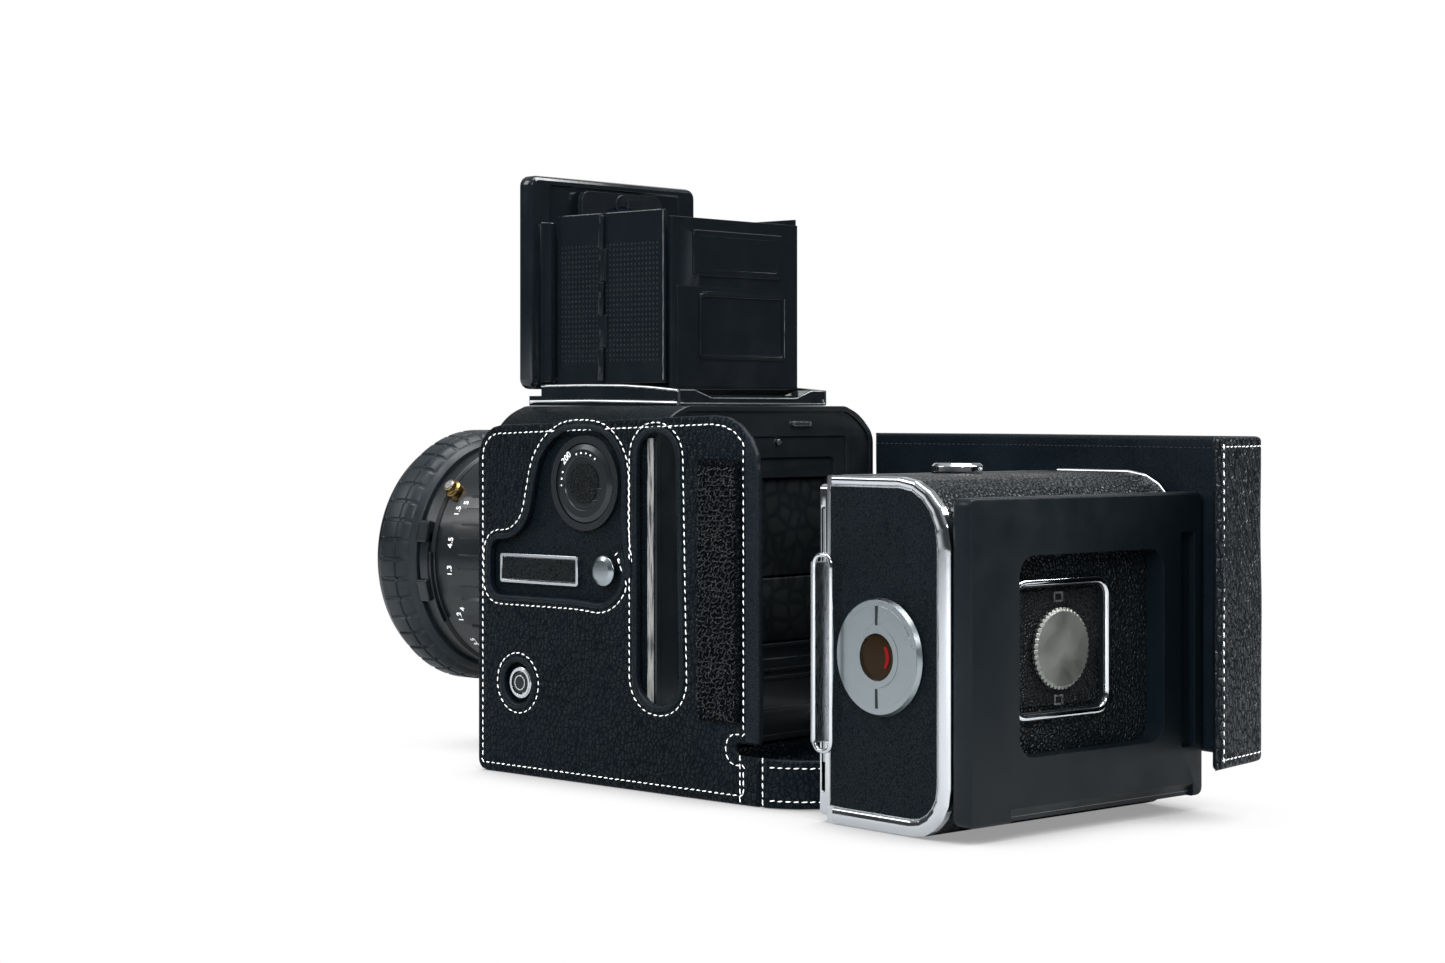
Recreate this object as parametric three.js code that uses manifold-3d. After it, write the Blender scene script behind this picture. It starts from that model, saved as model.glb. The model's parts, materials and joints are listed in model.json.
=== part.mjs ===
// Modular medium-format reflex camera in a leather half case: body with mirror and lens, folding
// finder hood, and the film magazine standing detached beside the open rear flap of the case.
//
// Units are millimetres, +Z is up. The origin is on the ground under the centre of the body,
// +Y points from the lens to the magazine side and +X to the side with the nameplate.

import * as THREE from 'three';
import { mergeVertices } from 'three/addons/utils/BufferGeometryUtils.js';
import Module from 'manifold-3d';

const wasm = await Module();
wasm.setup();

// ---------------------------------------------------------------- driving dimensions

const BODY = { half: 46.85, front: -33, rear: 32.8, bottom: 9.7, shoulder: 97.7, top: 106 };
const AXIS_Z = 59; // height of the lens axis
const LEATHER = 2.5; // thickness of the case leather
const GAP = 0.05; // clearance between fixed neighbours
const CASE = { front: -37, rear: 73, outer: BODY.half + LEATHER, strapTop: 13 };
const FLAP = { bottom: 15, top: 98, pivot: [-48.1, 33.5], crease: [-49.2, 82], fold: [-24.6, 179.8] };
const TAB_END = [1.1, 182.2];
const HOOD = { wall: 28.5, leaf: 1.1, bottom: 112.6, top: 161.8, rear: 20.4, junction: -5.6 };
const LID = { front: -34.8, rear: -29, half: 35.2, bottom: 111, top: 174 };
const MAG = { half: 43.35, depth: 43.2, height: 88.2, x: 12.7, y: 107.1, yaw: -6.28 };
const DIAL = { y: 6.3, z: 84.2 };
const CRANK = { y: -3, z: 60, socket: 5.3, reach: 24, tail: 9 };
const SCREW = { y: -12, head: 8, recess: 8.4, thread: 3.2, hole: 3.6, bush: 4.8 };

// ---------------------------------------------------------------- materials

const paint = (color, roughness, metalness) =>
  new THREE.MeshStandardMaterial({ color, roughness, metalness });

const LOOK = {
  leather: () => paint(0x14181b, 0.6, 0),
  leatherette: () => paint(0x121518, 0.55, 0),
  chrome: () => paint(0xc9cdd0, 0.18, 1),
  steel: () => paint(0x9da1a4, 0.35, 1),
  brass: () => paint(0xb08a45, 0.3, 1),
  black: () => paint(0x0c0f12, 0.3, 0.2),
  plastic: () => paint(0x0e1114, 0.38, 0),
  rubber: () => paint(0x15191c, 0.7, 0),
  loop: () => paint(0x08090a, 0.95, 0),
  glass: () => paint(0x22303a, 0.05, 0),
};

// ---------------------------------------------------------------- solids: join and cut

const MERGE = 1e-4;

function solidOf(geometry) {
  const plain = new THREE.BufferGeometry();
  plain.setAttribute('position', geometry.getAttribute('position').clone());
  if (geometry.index) {
    plain.setIndex(geometry.index.clone());
  }
  const merged = mergeVertices(plain, MERGE);
  const points = merged.getAttribute('position').array;
  const corners = merged.index.array;
  const faces = [];
  let volume = 0;
  const at = (i) => new THREE.Vector3().fromArray(points, 3 * i);
  for (let i = 0; i < corners.length; i += 3) {
    const [a, b, c] = [corners[i], corners[i + 1], corners[i + 2]];
    if (a !== b && b !== c && c !== a) {
      faces.push(a, b, c);
      volume += at(a).dot(at(b).cross(at(c)));
    }
  }
  if (volume < 0) {
    faces.reverse();
  }
  const mesh = new wasm.Mesh({
    numProp: 3,
    vertProperties: new Float32Array(points),
    triVerts: new Uint32Array(faces),
  });
  return new wasm.Manifold(mesh);
}

function geometryOf(solid) {
  const mesh = solid.getMesh();
  const geometry = new THREE.BufferGeometry();
  geometry.setAttribute('position', new THREE.BufferAttribute(mesh.vertProperties, 3));
  geometry.setIndex(new THREE.BufferAttribute(mesh.triVerts, 1));
  return geometry;
}

function join(...geometries) {
  const [first, ...others] = geometries.map(solidOf);
  return geometryOf(others.reduce((sum, next) => sum.add(next), first));
}

function cut(geometry, ...tools) {
  return geometryOf(tools.map(solidOf).reduce((rest, tool) => rest.subtract(tool), solidOf(geometry)));
}

// ---------------------------------------------------------------- outlines

const ARC = 0.5523; // how far a quarter arc's control points reach towards its corner

// A closed outline from corners [x, y, fillet radius].
function trace(path, corners) {
  const count = corners.length;
  corners.forEach(([x, y, radius = 0], i) => {
    const [px, py] = corners[(i + count - 1) % count];
    const [nx, ny] = corners[(i + 1) % count];
    const here = new THREE.Vector2(x, y);
    const before = new THREE.Vector2(px, py).sub(here).normalize().multiplyScalar(radius).add(here);
    const after = new THREE.Vector2(nx, ny).sub(here).normalize().multiplyScalar(radius).add(here);
    if (i === 0) {
      path.moveTo(before.x, before.y);
    } else {
      path.lineTo(before.x, before.y);
    }
    if (radius > 0) {
      const c1 = before.clone().lerp(here, ARC);
      const c2 = after.clone().lerp(here, ARC);
      path.bezierCurveTo(c1.x, c1.y, c2.x, c2.y, after.x, after.y);
    }
  });
  path.closePath();
  return path;
}

const outline = (corners, ...holes) => {
  const shape = trace(new THREE.Shape(), corners);
  shape.holes.push(...holes);
  return shape;
};

const rectCorners = (x0, y0, x1, y1, r = 0) => [[x0, y0, r], [x1, y0, r], [x1, y1, r], [x0, y1, r]];
const rect = (...size) => outline(rectCorners(...size));
const rectHole = (...size) => trace(new THREE.Path(), rectCorners(...size));

function circleOn(path, x, y, radius) {
  const quarters = 4;
  for (let i = 0; i < quarters; i += 1) {
    path.absarc(x, y, radius, (i * Math.PI) / 2, ((i + 1) * Math.PI) / 2, false);
  }
  return path;
}

const circle = (x, y, radius) => circleOn(new THREE.Shape(), x, y, radius);
const circleHole = (x, y, radius) => circleOn(new THREE.Path(), x, y, radius);

const ring = (x, y, outer, inner) => {
  const shape = circle(x, y, outer);
  shape.holes.push(circleHole(x, y, inner));
  return shape;
};

// A strip of sheet seen on edge, from one point to the next, with round ends.
function strip([x0, y0], [x1, y1], thickness) {
  const r = thickness / 2;
  const along = Math.atan2(y1 - y0, x1 - x0);
  const shape = new THREE.Shape();
  shape.absarc(x1, y1, r, along - Math.PI / 2, along + Math.PI / 2, false);
  shape.absarc(x0, y0, r, along + Math.PI / 2, along + 1.5 * Math.PI, false);
  shape.closePath();
  return shape;
}

// A strip of sheet seen on edge along a curve.
function ribbon(curve, thickness, steps) {
  const side = (sign, t) => {
    const p = curve.getPoint(t);
    const d = curve.getTangent(t);
    return new THREE.Vector2(p.x - (sign * d.y * thickness) / 2, p.y + (sign * d.x * thickness) / 2);
  };
  const ts = Array.from({ length: steps + 1 }, (_, i) => i / steps);
  return new THREE.Shape([...ts.map((t) => side(-1, t)), ...ts.reverse().map((t) => side(1, t))]);
}

// ---------------------------------------------------------------- extrusions and turned parts

const Y_OUT = new THREE.Matrix4().makeBasis(
  new THREE.Vector3(1, 0, 0),
  new THREE.Vector3(0, 0, 1),
  new THREE.Vector3(0, -1, 0),
);
const X_OUT = new THREE.Matrix4().makeBasis(
  new THREE.Vector3(0, 1, 0),
  new THREE.Vector3(0, 0, 1),
  new THREE.Vector3(1, 0, 0),
);

// Extrudes an (x, y) outline from z0 to z1, with an optional bevel inside that length.
function extrudeZ(shape, z0, z1, { bevel = 0, segments = 4 } = {}) {
  const geometry = new THREE.ExtrudeGeometry(shape, {
    depth: z1 - z0 - 2 * bevel,
    curveSegments: segments,
    bevelEnabled: bevel > 0,
    bevelSize: bevel,
    bevelThickness: bevel,
    bevelOffset: -bevel,
    bevelSegments: 2,
  });
  return geometry.translate(0, 0, z0 + bevel);
}

// The same for a (y, z) outline along X, and for an (x, z) outline along Y.
const extrudeX = (shape, x0, x1, options) => extrudeZ(shape, x0, x1, options).applyMatrix4(X_OUT);
const extrudeY = (shape, y0, y1, options) => extrudeZ(shape, -y1, -y0, options).applyMatrix4(Y_OUT);

const block = (x0, y0, z0, x1, y1, z1) => extrudeZ(rect(x0, y0, x1, y1), z0, z1);

// Turned parts: the profile lists [radius, distance along the axis].
const ROUND = 32;

function turned(profile, segments = ROUND) {
  const closed = [...profile, profile[0]].map(([r, along]) => new THREE.Vector2(r, along));
  return new THREE.LatheGeometry(closed, segments);
}

const turnedY = (profile, x, z, segments) => turned(profile, segments).translate(x, 0, z);
const turnedX = (profile, y, z, segments) =>
  turned(profile, segments).rotateZ(-Math.PI / 2).translate(0, y, z);
const turnedZ = (profile, x, y, segments) =>
  turned(profile, segments).rotateX(Math.PI / 2).translate(x, y, 0);

// A round bar or tube profile for the functions above.
const bar = (radius, from, to) => [[0, from], [radius, from], [radius, to], [0, to]];
const tube = (inner, outer, from, to) => [[inner, from], [outer, from], [outer, to], [inner, to]];

// ---------------------------------------------------------------- the assembly

const camera = new THREE.Group();

function add(group, name, material, geometry) {
  const mesh = new THREE.Mesh(geometryOf(solidOf(geometry)), material());
  mesh.name = name;
  group.add(mesh);
  return mesh;
}

// ---------------------------------------------------------------- body

const CHAMBER = { half: 31, front: -29.5, rear: 27.5, bottom: 30, top: 92 };
const GATE = { half: 27.45, bottom: 37.2, top: 85.2 };
const WELL = { half: 29.5, throat: 27.5, front: -27.8, rear: 22.2, ledge: 96 };
const THROAT = 28.5; // radius of the lens opening in the front wall
const SKIN = 1.2; // thickness of the front plate
const GEAR = { x: -38, y: 26, z: 23, radius: 6.3, half: 1.8, pocket: 7.2, pocketHalf: 2.6 };
const RELEASE = { x: -37, z: 18, radius: 3.2, hole: 3.5 };

// Stepped recesses in the rear face that the magazine seats in.
const REAR_STEPS = [
  { half: 35.25, bottom: 28, top: 97.1, depth: 0.5 },
  { half: 30.15, bottom: 33, top: 91, depth: 1.2 },
  { half: 31, bottom: 19, top: 27, depth: 0.5 },
];

const bodyOutline = (inset = 0) => {
  const half = BODY.half - inset;
  const side = [[half, BODY.bottom + inset, 2], [half, BODY.shoulder - inset / 2, 2.5]];
  const shoulder = [[40.5 - inset / 2, 103.6 - inset, 3], [34, BODY.top - inset, 1]];
  const right = [...side, ...shoulder];
  const left = right.map(([x, z, r]) => [-x, z, r]).reverse();
  return [...right, ...left];
};

function bodyShell() {
  const steps = REAR_STEPS.map(({ half, bottom, top, depth }) =>
    extrudeY(rect(-half, bottom, half, top, 2), BODY.rear - depth, BODY.rear + 1));
  const chamber = block(
    -CHAMBER.half, CHAMBER.front, CHAMBER.bottom, CHAMBER.half, CHAMBER.rear, CHAMBER.top,
  );
  const gate = block(-GATE.half, CHAMBER.rear - 1, GATE.bottom, GATE.half, BODY.rear + 1, GATE.top);
  const well = (half, z) => block(-half, WELL.front, z, half, WELL.rear, BODY.top + 1);
  const throat = turnedY(bar(THROAT, BODY.front - 1, CHAMBER.front + 1), 0, AXIS_Z);
  const gearPocket = block(
    GEAR.x - GEAR.pocketHalf, GEAR.y - GEAR.pocket, GEAR.z - GEAR.pocket,
    GEAR.x + GEAR.pocketHalf, BODY.rear + 1, GEAR.z + GEAR.pocket,
  );
  const crankHole = turnedX(bar(CRANK.socket, -BODY.half - 1, -BODY.half + 7), CRANK.y, CRANK.z);
  const buttonHole = turnedY(bar(RELEASE.hole, BODY.front - 1, BODY.front + 8), RELEASE.x, RELEASE.z);
  return cut(
    extrudeY(outline(bodyOutline()), BODY.front, BODY.rear),
    chamber,
    gate,
    well(WELL.throat, CHAMBER.top - 1),
    well(WELL.half, WELL.ledge),
    throat,
    ...steps,
    gearPocket,
    crankHole,
    buttonHole,
  );
}

function frontPlate() {
  const plate = outline(
    bodyOutline(SKIN),
    circleHole(0, AXIS_Z, 31),
    circleHole(RELEASE.x, RELEASE.z, RELEASE.hole),
  );
  return extrudeY(plate, BODY.front - SKIN, BODY.front - GAP);
}

function rearFrame() {
  const inner = trace(new THREE.Path(), bodyOutline(1.6));
  return extrudeY(outline(bodyOutline(), inner), BODY.rear + GAP, BODY.rear + 0.6);
}

function gearWheel(teeth, radius, root, bore, x0, x1) {
  const shape = new THREE.Shape();
  const pitch = (2 * Math.PI) / teeth;
  for (let i = 0; i < teeth; i += 1) {
    [[0, root], [0.3, radius], [0.6, radius], [0.9, root]].forEach(([part, r], k) => {
      const a = (i + part) * pitch;
      const move = i === 0 && k === 0 ? 'moveTo' : 'lineTo';
      shape[move](r * Math.cos(a), r * Math.sin(a));
    });
  }
  shape.closePath();
  shape.holes.push(circleHole(0, 0, bore));
  return extrudeX(shape, x0, x1, { segments: 4 });
}

function buildBody() {
  add(camera, 'body_shell', LOOK.leatherette, bodyShell());
  add(camera, 'front_plate', LOOK.leatherette, frontPlate());
  add(camera, 'rear_frame', LOOK.chrome, rearFrame());
  const mount = turnedY(tube(27, 30.7, BODY.front - 3.6, BODY.front - 0.1), 0, AXIS_Z);
  add(camera, 'lens_mount_ring', LOOK.chrome, mount);
  const screen = block(
    -29.2, WELL.front + 0.3, WELL.ledge + GAP, 29.2, WELL.rear - 0.3, WELL.ledge + 2.2,
  );
  add(camera, 'focusing_screen', LOOK.glass, screen);
  const gear = gearWheel(14, GEAR.radius, 5, 1.6, -GEAR.half, GEAR.half);
  add(camera, 'drive_gear', LOOK.brass, gear).position.set(GEAR.x, GEAR.y, GEAR.z);
  const button = turnedY(bar(RELEASE.radius, BODY.front - 5.4, BODY.front + 4), RELEASE.x, RELEASE.z);
  add(camera, 'release_button', LOOK.chrome, button);
  const foot = cut(
    extrudeZ(rect(-20, -25, 20, 20, 3), 3, BODY.bottom - 0.1),
    turnedZ(bar(SCREW.bush, 2, 8.5), 0, SCREW.y),
  );
  add(camera, 'tripod_foot', LOOK.steel, foot);
}

const DOOR = { y: 29.6, half: 27.15, thickness: 1.2 };

// Mirror at 45 degrees on a pin at the top rear of the chamber.
const MIRROR = { y: 25.2, z: 89.3, length: 53, half: 29, thickness: 2, pin: 1 };

function buildMirrorAndDoors() {
  const pin = turnedX(bar(MIRROR.pin, -CHAMBER.half + 0.1, CHAMBER.half - 0.1), MIRROR.y, MIRROR.z, 16);
  add(camera, 'mirror_pin', LOOK.steel, pin);
  const t = MIRROR.thickness / 2;
  const plate = block(-MIRROR.half, -MIRROR.length, -t, MIRROR.half, -1.4, t);
  const mirror = add(camera, 'mirror', LOOK.glass, plate);
  mirror.position.set(0, MIRROR.y, MIRROR.z);
  mirror.rotation.x = Math.PI / 4;

  const door = (bottom, top) => {
    const { y, half, thickness } = DOOR;
    const r = thickness / 2;
    return extrudeX(strip([y, bottom + r], [y, top - r], thickness), -half, half, { segments: 4 });
  };
  add(camera, 'upper_rear_door', LOOK.rubber, door(56.6, 85));
  add(camera, 'lower_rear_door', LOOK.rubber, door(37.6, 56.2));
}

// Fittings on the two sides of the body: dial, nameplate, lugs, socket and crank.
const NAMEPLATE = { y0: -28.3, y1: 3.9, z0: 55, z1: 63.5 };
const LUG = { y: 15.5, z: 60 };
const SOCKET = { y: -19.6, z: 26.4 };
const SIDE = BODY.half + GAP;

const lugProfile = (sign) =>
  [[0, 0], [2.2, 0], [2.2, 1.6], [4.3, 2], [4.3, 3], [3, 3.8], [0, 4.1]].map(([r, x]) => [
    r,
    sign * (SIDE + x),
  ]);

function buildSideFittings() {
  const bezel = extrudeX(ring(DIAL.y, DIAL.z, 13.4, 11.4), SIDE, SIDE + 1.3, { segments: 5 });
  add(camera, 'dial_bezel', LOOK.black, bezel);
  const dial = turnedX(
    [[0, 0.1], [11.1, 0.1], [11.1, 1.1], [9.6, 1.8], [7.6, 1.8], [7.2, 1.2], [0, 1.2]],
    0,
    0,
  );
  add(camera, 'film_speed_dial', LOOK.black, dial).position.set(SIDE, DIAL.y, DIAL.z);

  const { y0, y1, z0, z1 } = NAMEPLATE;
  const plate = cut(
    extrudeX(rect(y0, z0, y1, z1, 0.8), SIDE, SIDE + 1.5),
    extrudeX(rect(y0 + 0.9, z0 + 0.9, y1 - 0.9, z1 - 0.9, 0.4), SIDE + 0.8, SIDE + 2),
  );
  add(camera, 'nameplate_frame', LOOK.chrome, plate);
  add(camera, 'strap_lug_left', LOOK.chrome, turnedX(lugProfile(1), LUG.y, LUG.z, 24));
  add(camera, 'strap_lug_right', LOOK.chrome, turnedX(lugProfile(-1), LUG.y, LUG.z, 24));

  const socket = turnedX(
    [[0, SIDE], [4.6, SIDE], [4.6, SIDE + 1.6], [3.4, SIDE + 1.6], [3.4, SIDE + 0.6],
      [1.2, SIDE + 0.6], [1.2, SIDE + 1.4], [0, SIDE + 1.4]],
    SOCKET.y,
    SOCKET.z,
    24,
  );
  add(camera, 'flash_socket', LOOK.chrome, socket);

  const x = -BODY.half;
  const hub = join(
    turnedX(bar(5, x + 6.5, x - 3), CRANK.y, CRANK.z),
    turnedX([[0, x - 2], [13, x - 2], [14, x - 3], [14, x - 5.5], [12.8, x - 6.6], [0, x - 6.6]],
      CRANK.y, CRANK.z),
  );
  add(camera, 'crank_hub', LOOK.chrome, hub);
  const bottom = [CRANK.y, CRANK.z - CRANK.tail];
  const top = [CRANK.y, CRANK.z + CRANK.reach];
  const arm = extrudeX(strip(bottom, top, 8), x - 9, x - 6.9);
  const grip = turnedX(
    [[0, x - 8], [4.6, x - 8], [5.4, x - 12], [5.4, x - 19], [4.4, x - 21], [0, x - 21]],
    CRANK.y,
    CRANK.z + CRANK.reach,
  );
  add(camera, 'crank_handle', LOOK.black, join(arm, grip));
}

// ---------------------------------------------------------------- lens

const LENS = { barrel: 28.6, collar: 33.8, bore: 22, front: -97 };
const TERMINAL = { y: -70.5, angle: 0.93 };
const RIBS = { focus: 24, shutter: 40 };

// A ring with evenly spaced straight ribs around it.
function ribbedRing(outer, root, inner, ribs, y0, y1) {
  const shape = new THREE.Shape();
  const pitch = (2 * Math.PI) / ribs;
  for (let i = 0; i < ribs; i += 1) {
    [[0, root], [0.14, outer], [0.66, outer], [0.8, root]].forEach(([part, r], k) => {
      const a = (i + part) * pitch;
      const move = i === 0 && k === 0 ? 'moveTo' : 'lineTo';
      shape[move](r * Math.cos(a), r * Math.sin(a));
    });
  }
  shape.closePath();
  shape.holes.push(circleHole(0, 0, inner));
  return extrudeY(shape, y0, y1).translate(0, 0, AXIS_Z);
}

const onAxis = (profile) => turnedY(profile, 0, AXIS_Z);

function buildLens() {
  const { barrel, bore, collar } = LENS;
  add(camera, 'lens_barrel', LOOK.black, onAxis([
    [bore, -33.4], [26.8, -33.4], [26.8, -37.2], [31.2, -37.8], [32.2, -40], [32.2, -46.6],
    [barrel, -46.8], [barrel, -67.5], [collar, -67.7], [collar, -73.3], [barrel, -73.5],
    [barrel, -93.9], [27, -93.9], [27, -88], [bore, -84],
  ]));
  const inner = barrel + 0.25;
  const lever = (angle, from, to, width, height) =>
    extrudeY(rect(-width / 2, collar - 2, width / 2, collar + height, 1), from, to)
      .rotateY(angle)
      .translate(0, 0, AXIS_Z);
  add(camera, 'focus_ring', LOOK.rubber, join(
    onAxis([[inner, -61], [35.6, -61], [35.6, -66.4], [34.6, -67.3], [inner, -67.3]]),
    ribbedRing(36.2, 35.2, inner, RIBS.focus, -61.1, -47.2),
  ));
  add(camera, 'aperture_ring', LOOK.black, join(
    onAxis([[inner, -73.7], [33.6, -73.7], [34.6, -74.6], [34.6, -79.8], [inner, -79.8]]),
    lever(1.33, -79, -74.6, 7, 3.6),
    lever(1.83, -79, -74.6, 7, 3.6),
    lever(-1.6, -79, -74.6, 9, 3.6),
  ));
  add(camera, 'shutter_ring', LOOK.black, join(
    onAxis([[inner, -80.1], [35.6, -80.1], [37.4, -82.4], [inner, -82.4]]),
    ribbedRing(39.6, 38.7, inner, RIBS.shutter, -93.6, -82.3),
  ));
  add(camera, 'lens_front_rim', LOOK.black, onAxis([
    [26.6, -94.1], [38.2, -94.1], [37.6, -96.2], [35.4, LENS.front], [28, LENS.front], [26.6, -96],
  ]));
  add(camera, 'front_element', LOOK.glass, onAxis([
    [0, -89.5], [26.3, -89.5], [26.3, -92], [20, -93.6], [10, -94.8], [0, -95.2],
  ]));
  add(camera, 'rear_element', LOOK.glass, onAxis([
    [0, -43], [21.8, -43], [21.8, -37], [12, -35.6], [0, -35],
  ]));
  const foot = collar + 0.1;
  const terminal = turned([
    [0, foot], [2.8, foot], [2.8, foot + 2.6], [2, foot + 3.2], [2, foot + 4.6], [1.2, foot + 4.6],
    [1.2, foot + 3], [0, foot + 3],
  ], 24);
  const place = terminal.rotateX(Math.PI / 2).rotateY(TERMINAL.angle).translate(0, TERMINAL.y, AXIS_Z);
  add(camera, 'sync_terminal', LOOK.brass, place);
}

// ---------------------------------------------------------------- leather half case

function leftPanel() {
  const { front, rear, strapTop } = CASE;
  const panel = outline([
    [front, 0, 3], [rear, 0, 0], [rear, strapTop, 0], [64, strapTop, 1.2], [64, 16.2, 1.2],
    [rear, 16.2, 0.5], [rear, 104, 16], [front, 100.2, 9],
  ]);
  // Keyhole round the dial, with a lobe for the strap lug and a foot along the nameplate.
  const keyhole = trace(new THREE.Path(), [
    [-9.4, 99.4, 13], [22.6, 99.4, 13], [22.4, 66.5, 8], [24.3, 60.5, 6], [18, 50.2, 6], [6, 51.4, 4],
    [-31.5, 51.4, 4], [-31.5, 67.6, 4], [-17, 67.6, 9],
  ]);
  const slot = trace(new THREE.Path(), [
    [28, 98.8, 7], [43, 98.8, 7], [44.7, 24, 7.5], [28, 24, 7.5],
  ]);
  panel.holes.push(keyhole, slot, circleHole(SOCKET.y, SOCKET.z, 6));
  return extrudeX(panel, BODY.half + GAP, CASE.outer, { segments: 5 });
}

function rightPanel() {
  const { front } = CASE;
  const radius = 25;
  const panel = outline([
    [front, 0, 3], [31.6, 0, 0], [31.6, 98, 4], [CRANK.y + radius, 98, 4],
    [CRANK.y + radius, CRANK.z - radius, radius - 1], [CRANK.y - radius, CRANK.z - radius, radius - 1],
    [CRANK.y - radius, 98, 4], [front, 98, 4],
  ]);
  return extrudeX(panel, -CASE.outer, -BODY.half - GAP, { segments: 5 });
}

function caseBase() {
  const half = BODY.half - 0.1;
  const floor = extrudeZ(rect(-half, CASE.front, half, CASE.rear - 1, 3), 0, 2.6);
  const bed = extrudeZ(rect(-half, CASE.front, half, BODY.rear, 2), 1, BODY.bottom - 0.1);
  return cut(
    join(floor, bed, extrudeY(rect(-half, 1, half, 14, 4), CASE.front, CASE.front + 2.4)),
    extrudeZ(rect(-20.4, -25.4, 20.4, 20.4, 3), 2.8, BODY.bottom + 1),
    turnedZ(bar(SCREW.recess, -1, 2.4), 0, SCREW.y),
    turnedZ(bar(SCREW.hole, -1, 4), 0, SCREW.y),
  );
}

function rearStrap() {
  const x = BODY.half + LEATHER / 2;
  const loop = new THREE.CatmullRomCurve3([
    new THREE.Vector3(x, CASE.rear + 0.4, 0), new THREE.Vector3(x - 1.3, 79, 0),
    new THREE.Vector3(x - 7, 86.6, 0), new THREE.Vector3(20, 94, 0), new THREE.Vector3(-14, 94.6, 0),
    new THREE.Vector3(-37, 89, 0), new THREE.Vector3(-x + 1.2, 76, 0), new THREE.Vector3(-x, 62, 0),
    new THREE.Vector3(-x, 45, 0), new THREE.Vector3(-x, 32, 0),
  ]);
  return extrudeZ(ribbon(loop, LEATHER - 0.1, 32), 0.05, CASE.strapTop);
}

// Point at a distance from one plan point towards another.
function towards(from, to, distance) {
  const a = new THREE.Vector2(...from);
  const step = new THREE.Vector2(...to).sub(a).normalize().multiplyScalar(distance);
  return a.add(step).toArray();
}

function buildCase() {
  add(camera, 'case_left_panel', LOOK.leather, leftPanel());
  add(camera, 'case_right_panel', LOOK.leather, rightPanel());
  add(camera, 'case_base', LOOK.leather, caseBase());
  add(camera, 'case_strap', LOOK.leather, rearStrap());
  const velcro = extrudeX(rect(52.1, 21.7, 67.3, 91.5, 1.5), CASE.outer + GAP, CASE.outer + 1.4);
  add(camera, 'velcro_strip', LOOK.loop, velcro);
  const screw = join(
    turnedZ(bar(SCREW.head, 0.3, 2.2), 0, SCREW.y),
    turnedZ(bar(SCREW.thread, 2, 7.5), 0, SCREW.y, 24),
  );
  add(camera, 'case_screw', LOOK.steel, screw);

  // Each part of the flap turns about its round end and leaves a small gap to the part before it.
  const gap = LEATHER + 0.4;
  const { bottom, top, pivot, crease, fold } = FLAP;
  const hang = (from, to, high) => extrudeZ(strip(from, to, LEATHER), bottom, high, { segments: 4 });
  add(camera, 'flap_side_panel', LOOK.leather, hang(pivot, towards(crease, pivot, gap), top));
  add(camera, 'flap_rear_panel', LOOK.leather, hang(crease, towards(fold, crease, gap), top));
  add(camera, 'flap_tab', LOOK.leather, hang(fold, TAB_END, top));
}

// ---------------------------------------------------------------- finder with folding hood

const RAIL = { inner: 28.9, outer: 31.8, front: -28.4, rear: 27.6, top: 112.4 };
const MAGNIFIER = {
  y: -28.2, thickness: 1.9, half: 17, bottom: 136, top: 170.4, lens: 14, centre: 152.5,
};

function finderBase() {
  const bottom = BODY.top + 0.1;
  const frame = cut(
    extrudeZ(rect(-RAIL.outer, LID.front, RAIL.outer, RAIL.rear, 2), bottom, 109),
    block(-27.2, -27, bottom - 1, 27.2, 20.2, 110),
  );
  const rail = (side) => {
    const [x0, x1] = side > 0 ? [RAIL.inner, RAIL.outer] : [-RAIL.outer, -RAIL.inner];
    const curve = outline([
      [RAIL.front, 108.5, 0], [RAIL.rear, 108.5, 0], [RAIL.rear, 110.6, 0.5], [8, RAIL.top, 12],
      [RAIL.front, RAIL.top, 1],
    ]);
    return extrudeX(curve, x0, x1);
  };
  const fins = outline([
    [-RAIL.outer, 108], [RAIL.outer, 108], [RAIL.outer, 110.6, 0.5], [25, 110.6, 1], [18, 108.4, 1],
    [-18, 108.4, 1], [-25, 110.6, 1], [-RAIL.outer, 110.6, 0.5],
  ]);
  return join(frame, rail(1), rail(-1), extrudeY(fins, 21.4, RAIL.rear));
}

function hoodLid() {
  const lip = (side) => {
    const [x0, x1] = side > 0 ? [28.8, 31] : [-31, -28.8];
    return block(x0, LID.rear - 1.5, 113, x1, -25.3, 160);
  };
  const plate = extrudeY(
    rect(-LID.half, LID.bottom, LID.half, LID.top, 3),
    LID.front,
    LID.rear,
    { bevel: 1.3 },
  );
  const dish = extrudeY(rect(-27.6, 114, 27.6, 171.4, 1), LID.rear - 0.6, LID.rear + 1);
  return join(cut(plate, dish), lip(1), lip(-1));
}

// One leaf of a side wall with its share of the vertical hinge at the middle of the wall.
function leaf(side, isFront) {
  const { wall, leaf: thickness, bottom, top, junction } = HOOD;
  const pivotX = wall + 0.8;
  const [y0, y1] = isFront ? [-24.9, junction - 0.4] : [junction + 0.4, 18.6];
  const knuckles = isFront ? [0, 2, 4] : [1, 3];
  const pitch = (top - bottom - 1) / 5;
  const plate = block(wall - thickness, y0, bottom, wall, y1, top);
  const parts = knuckles.flatMap((k) => {
    const low = bottom + 0.7 + k * pitch;
    const high = low + pitch - 0.4;
    const web = isFront
      ? block(wall - 0.3, junction - 1.8, low, pivotX, junction, high)
      : block(wall - 0.3, junction, low, pivotX, junction + 1.8, high);
    return [turnedZ(bar(0.8, low, high), pivotX, junction, 12), web];
  });
  return join(plate, ...parts).scale(side, 1, 1);
}

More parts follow.
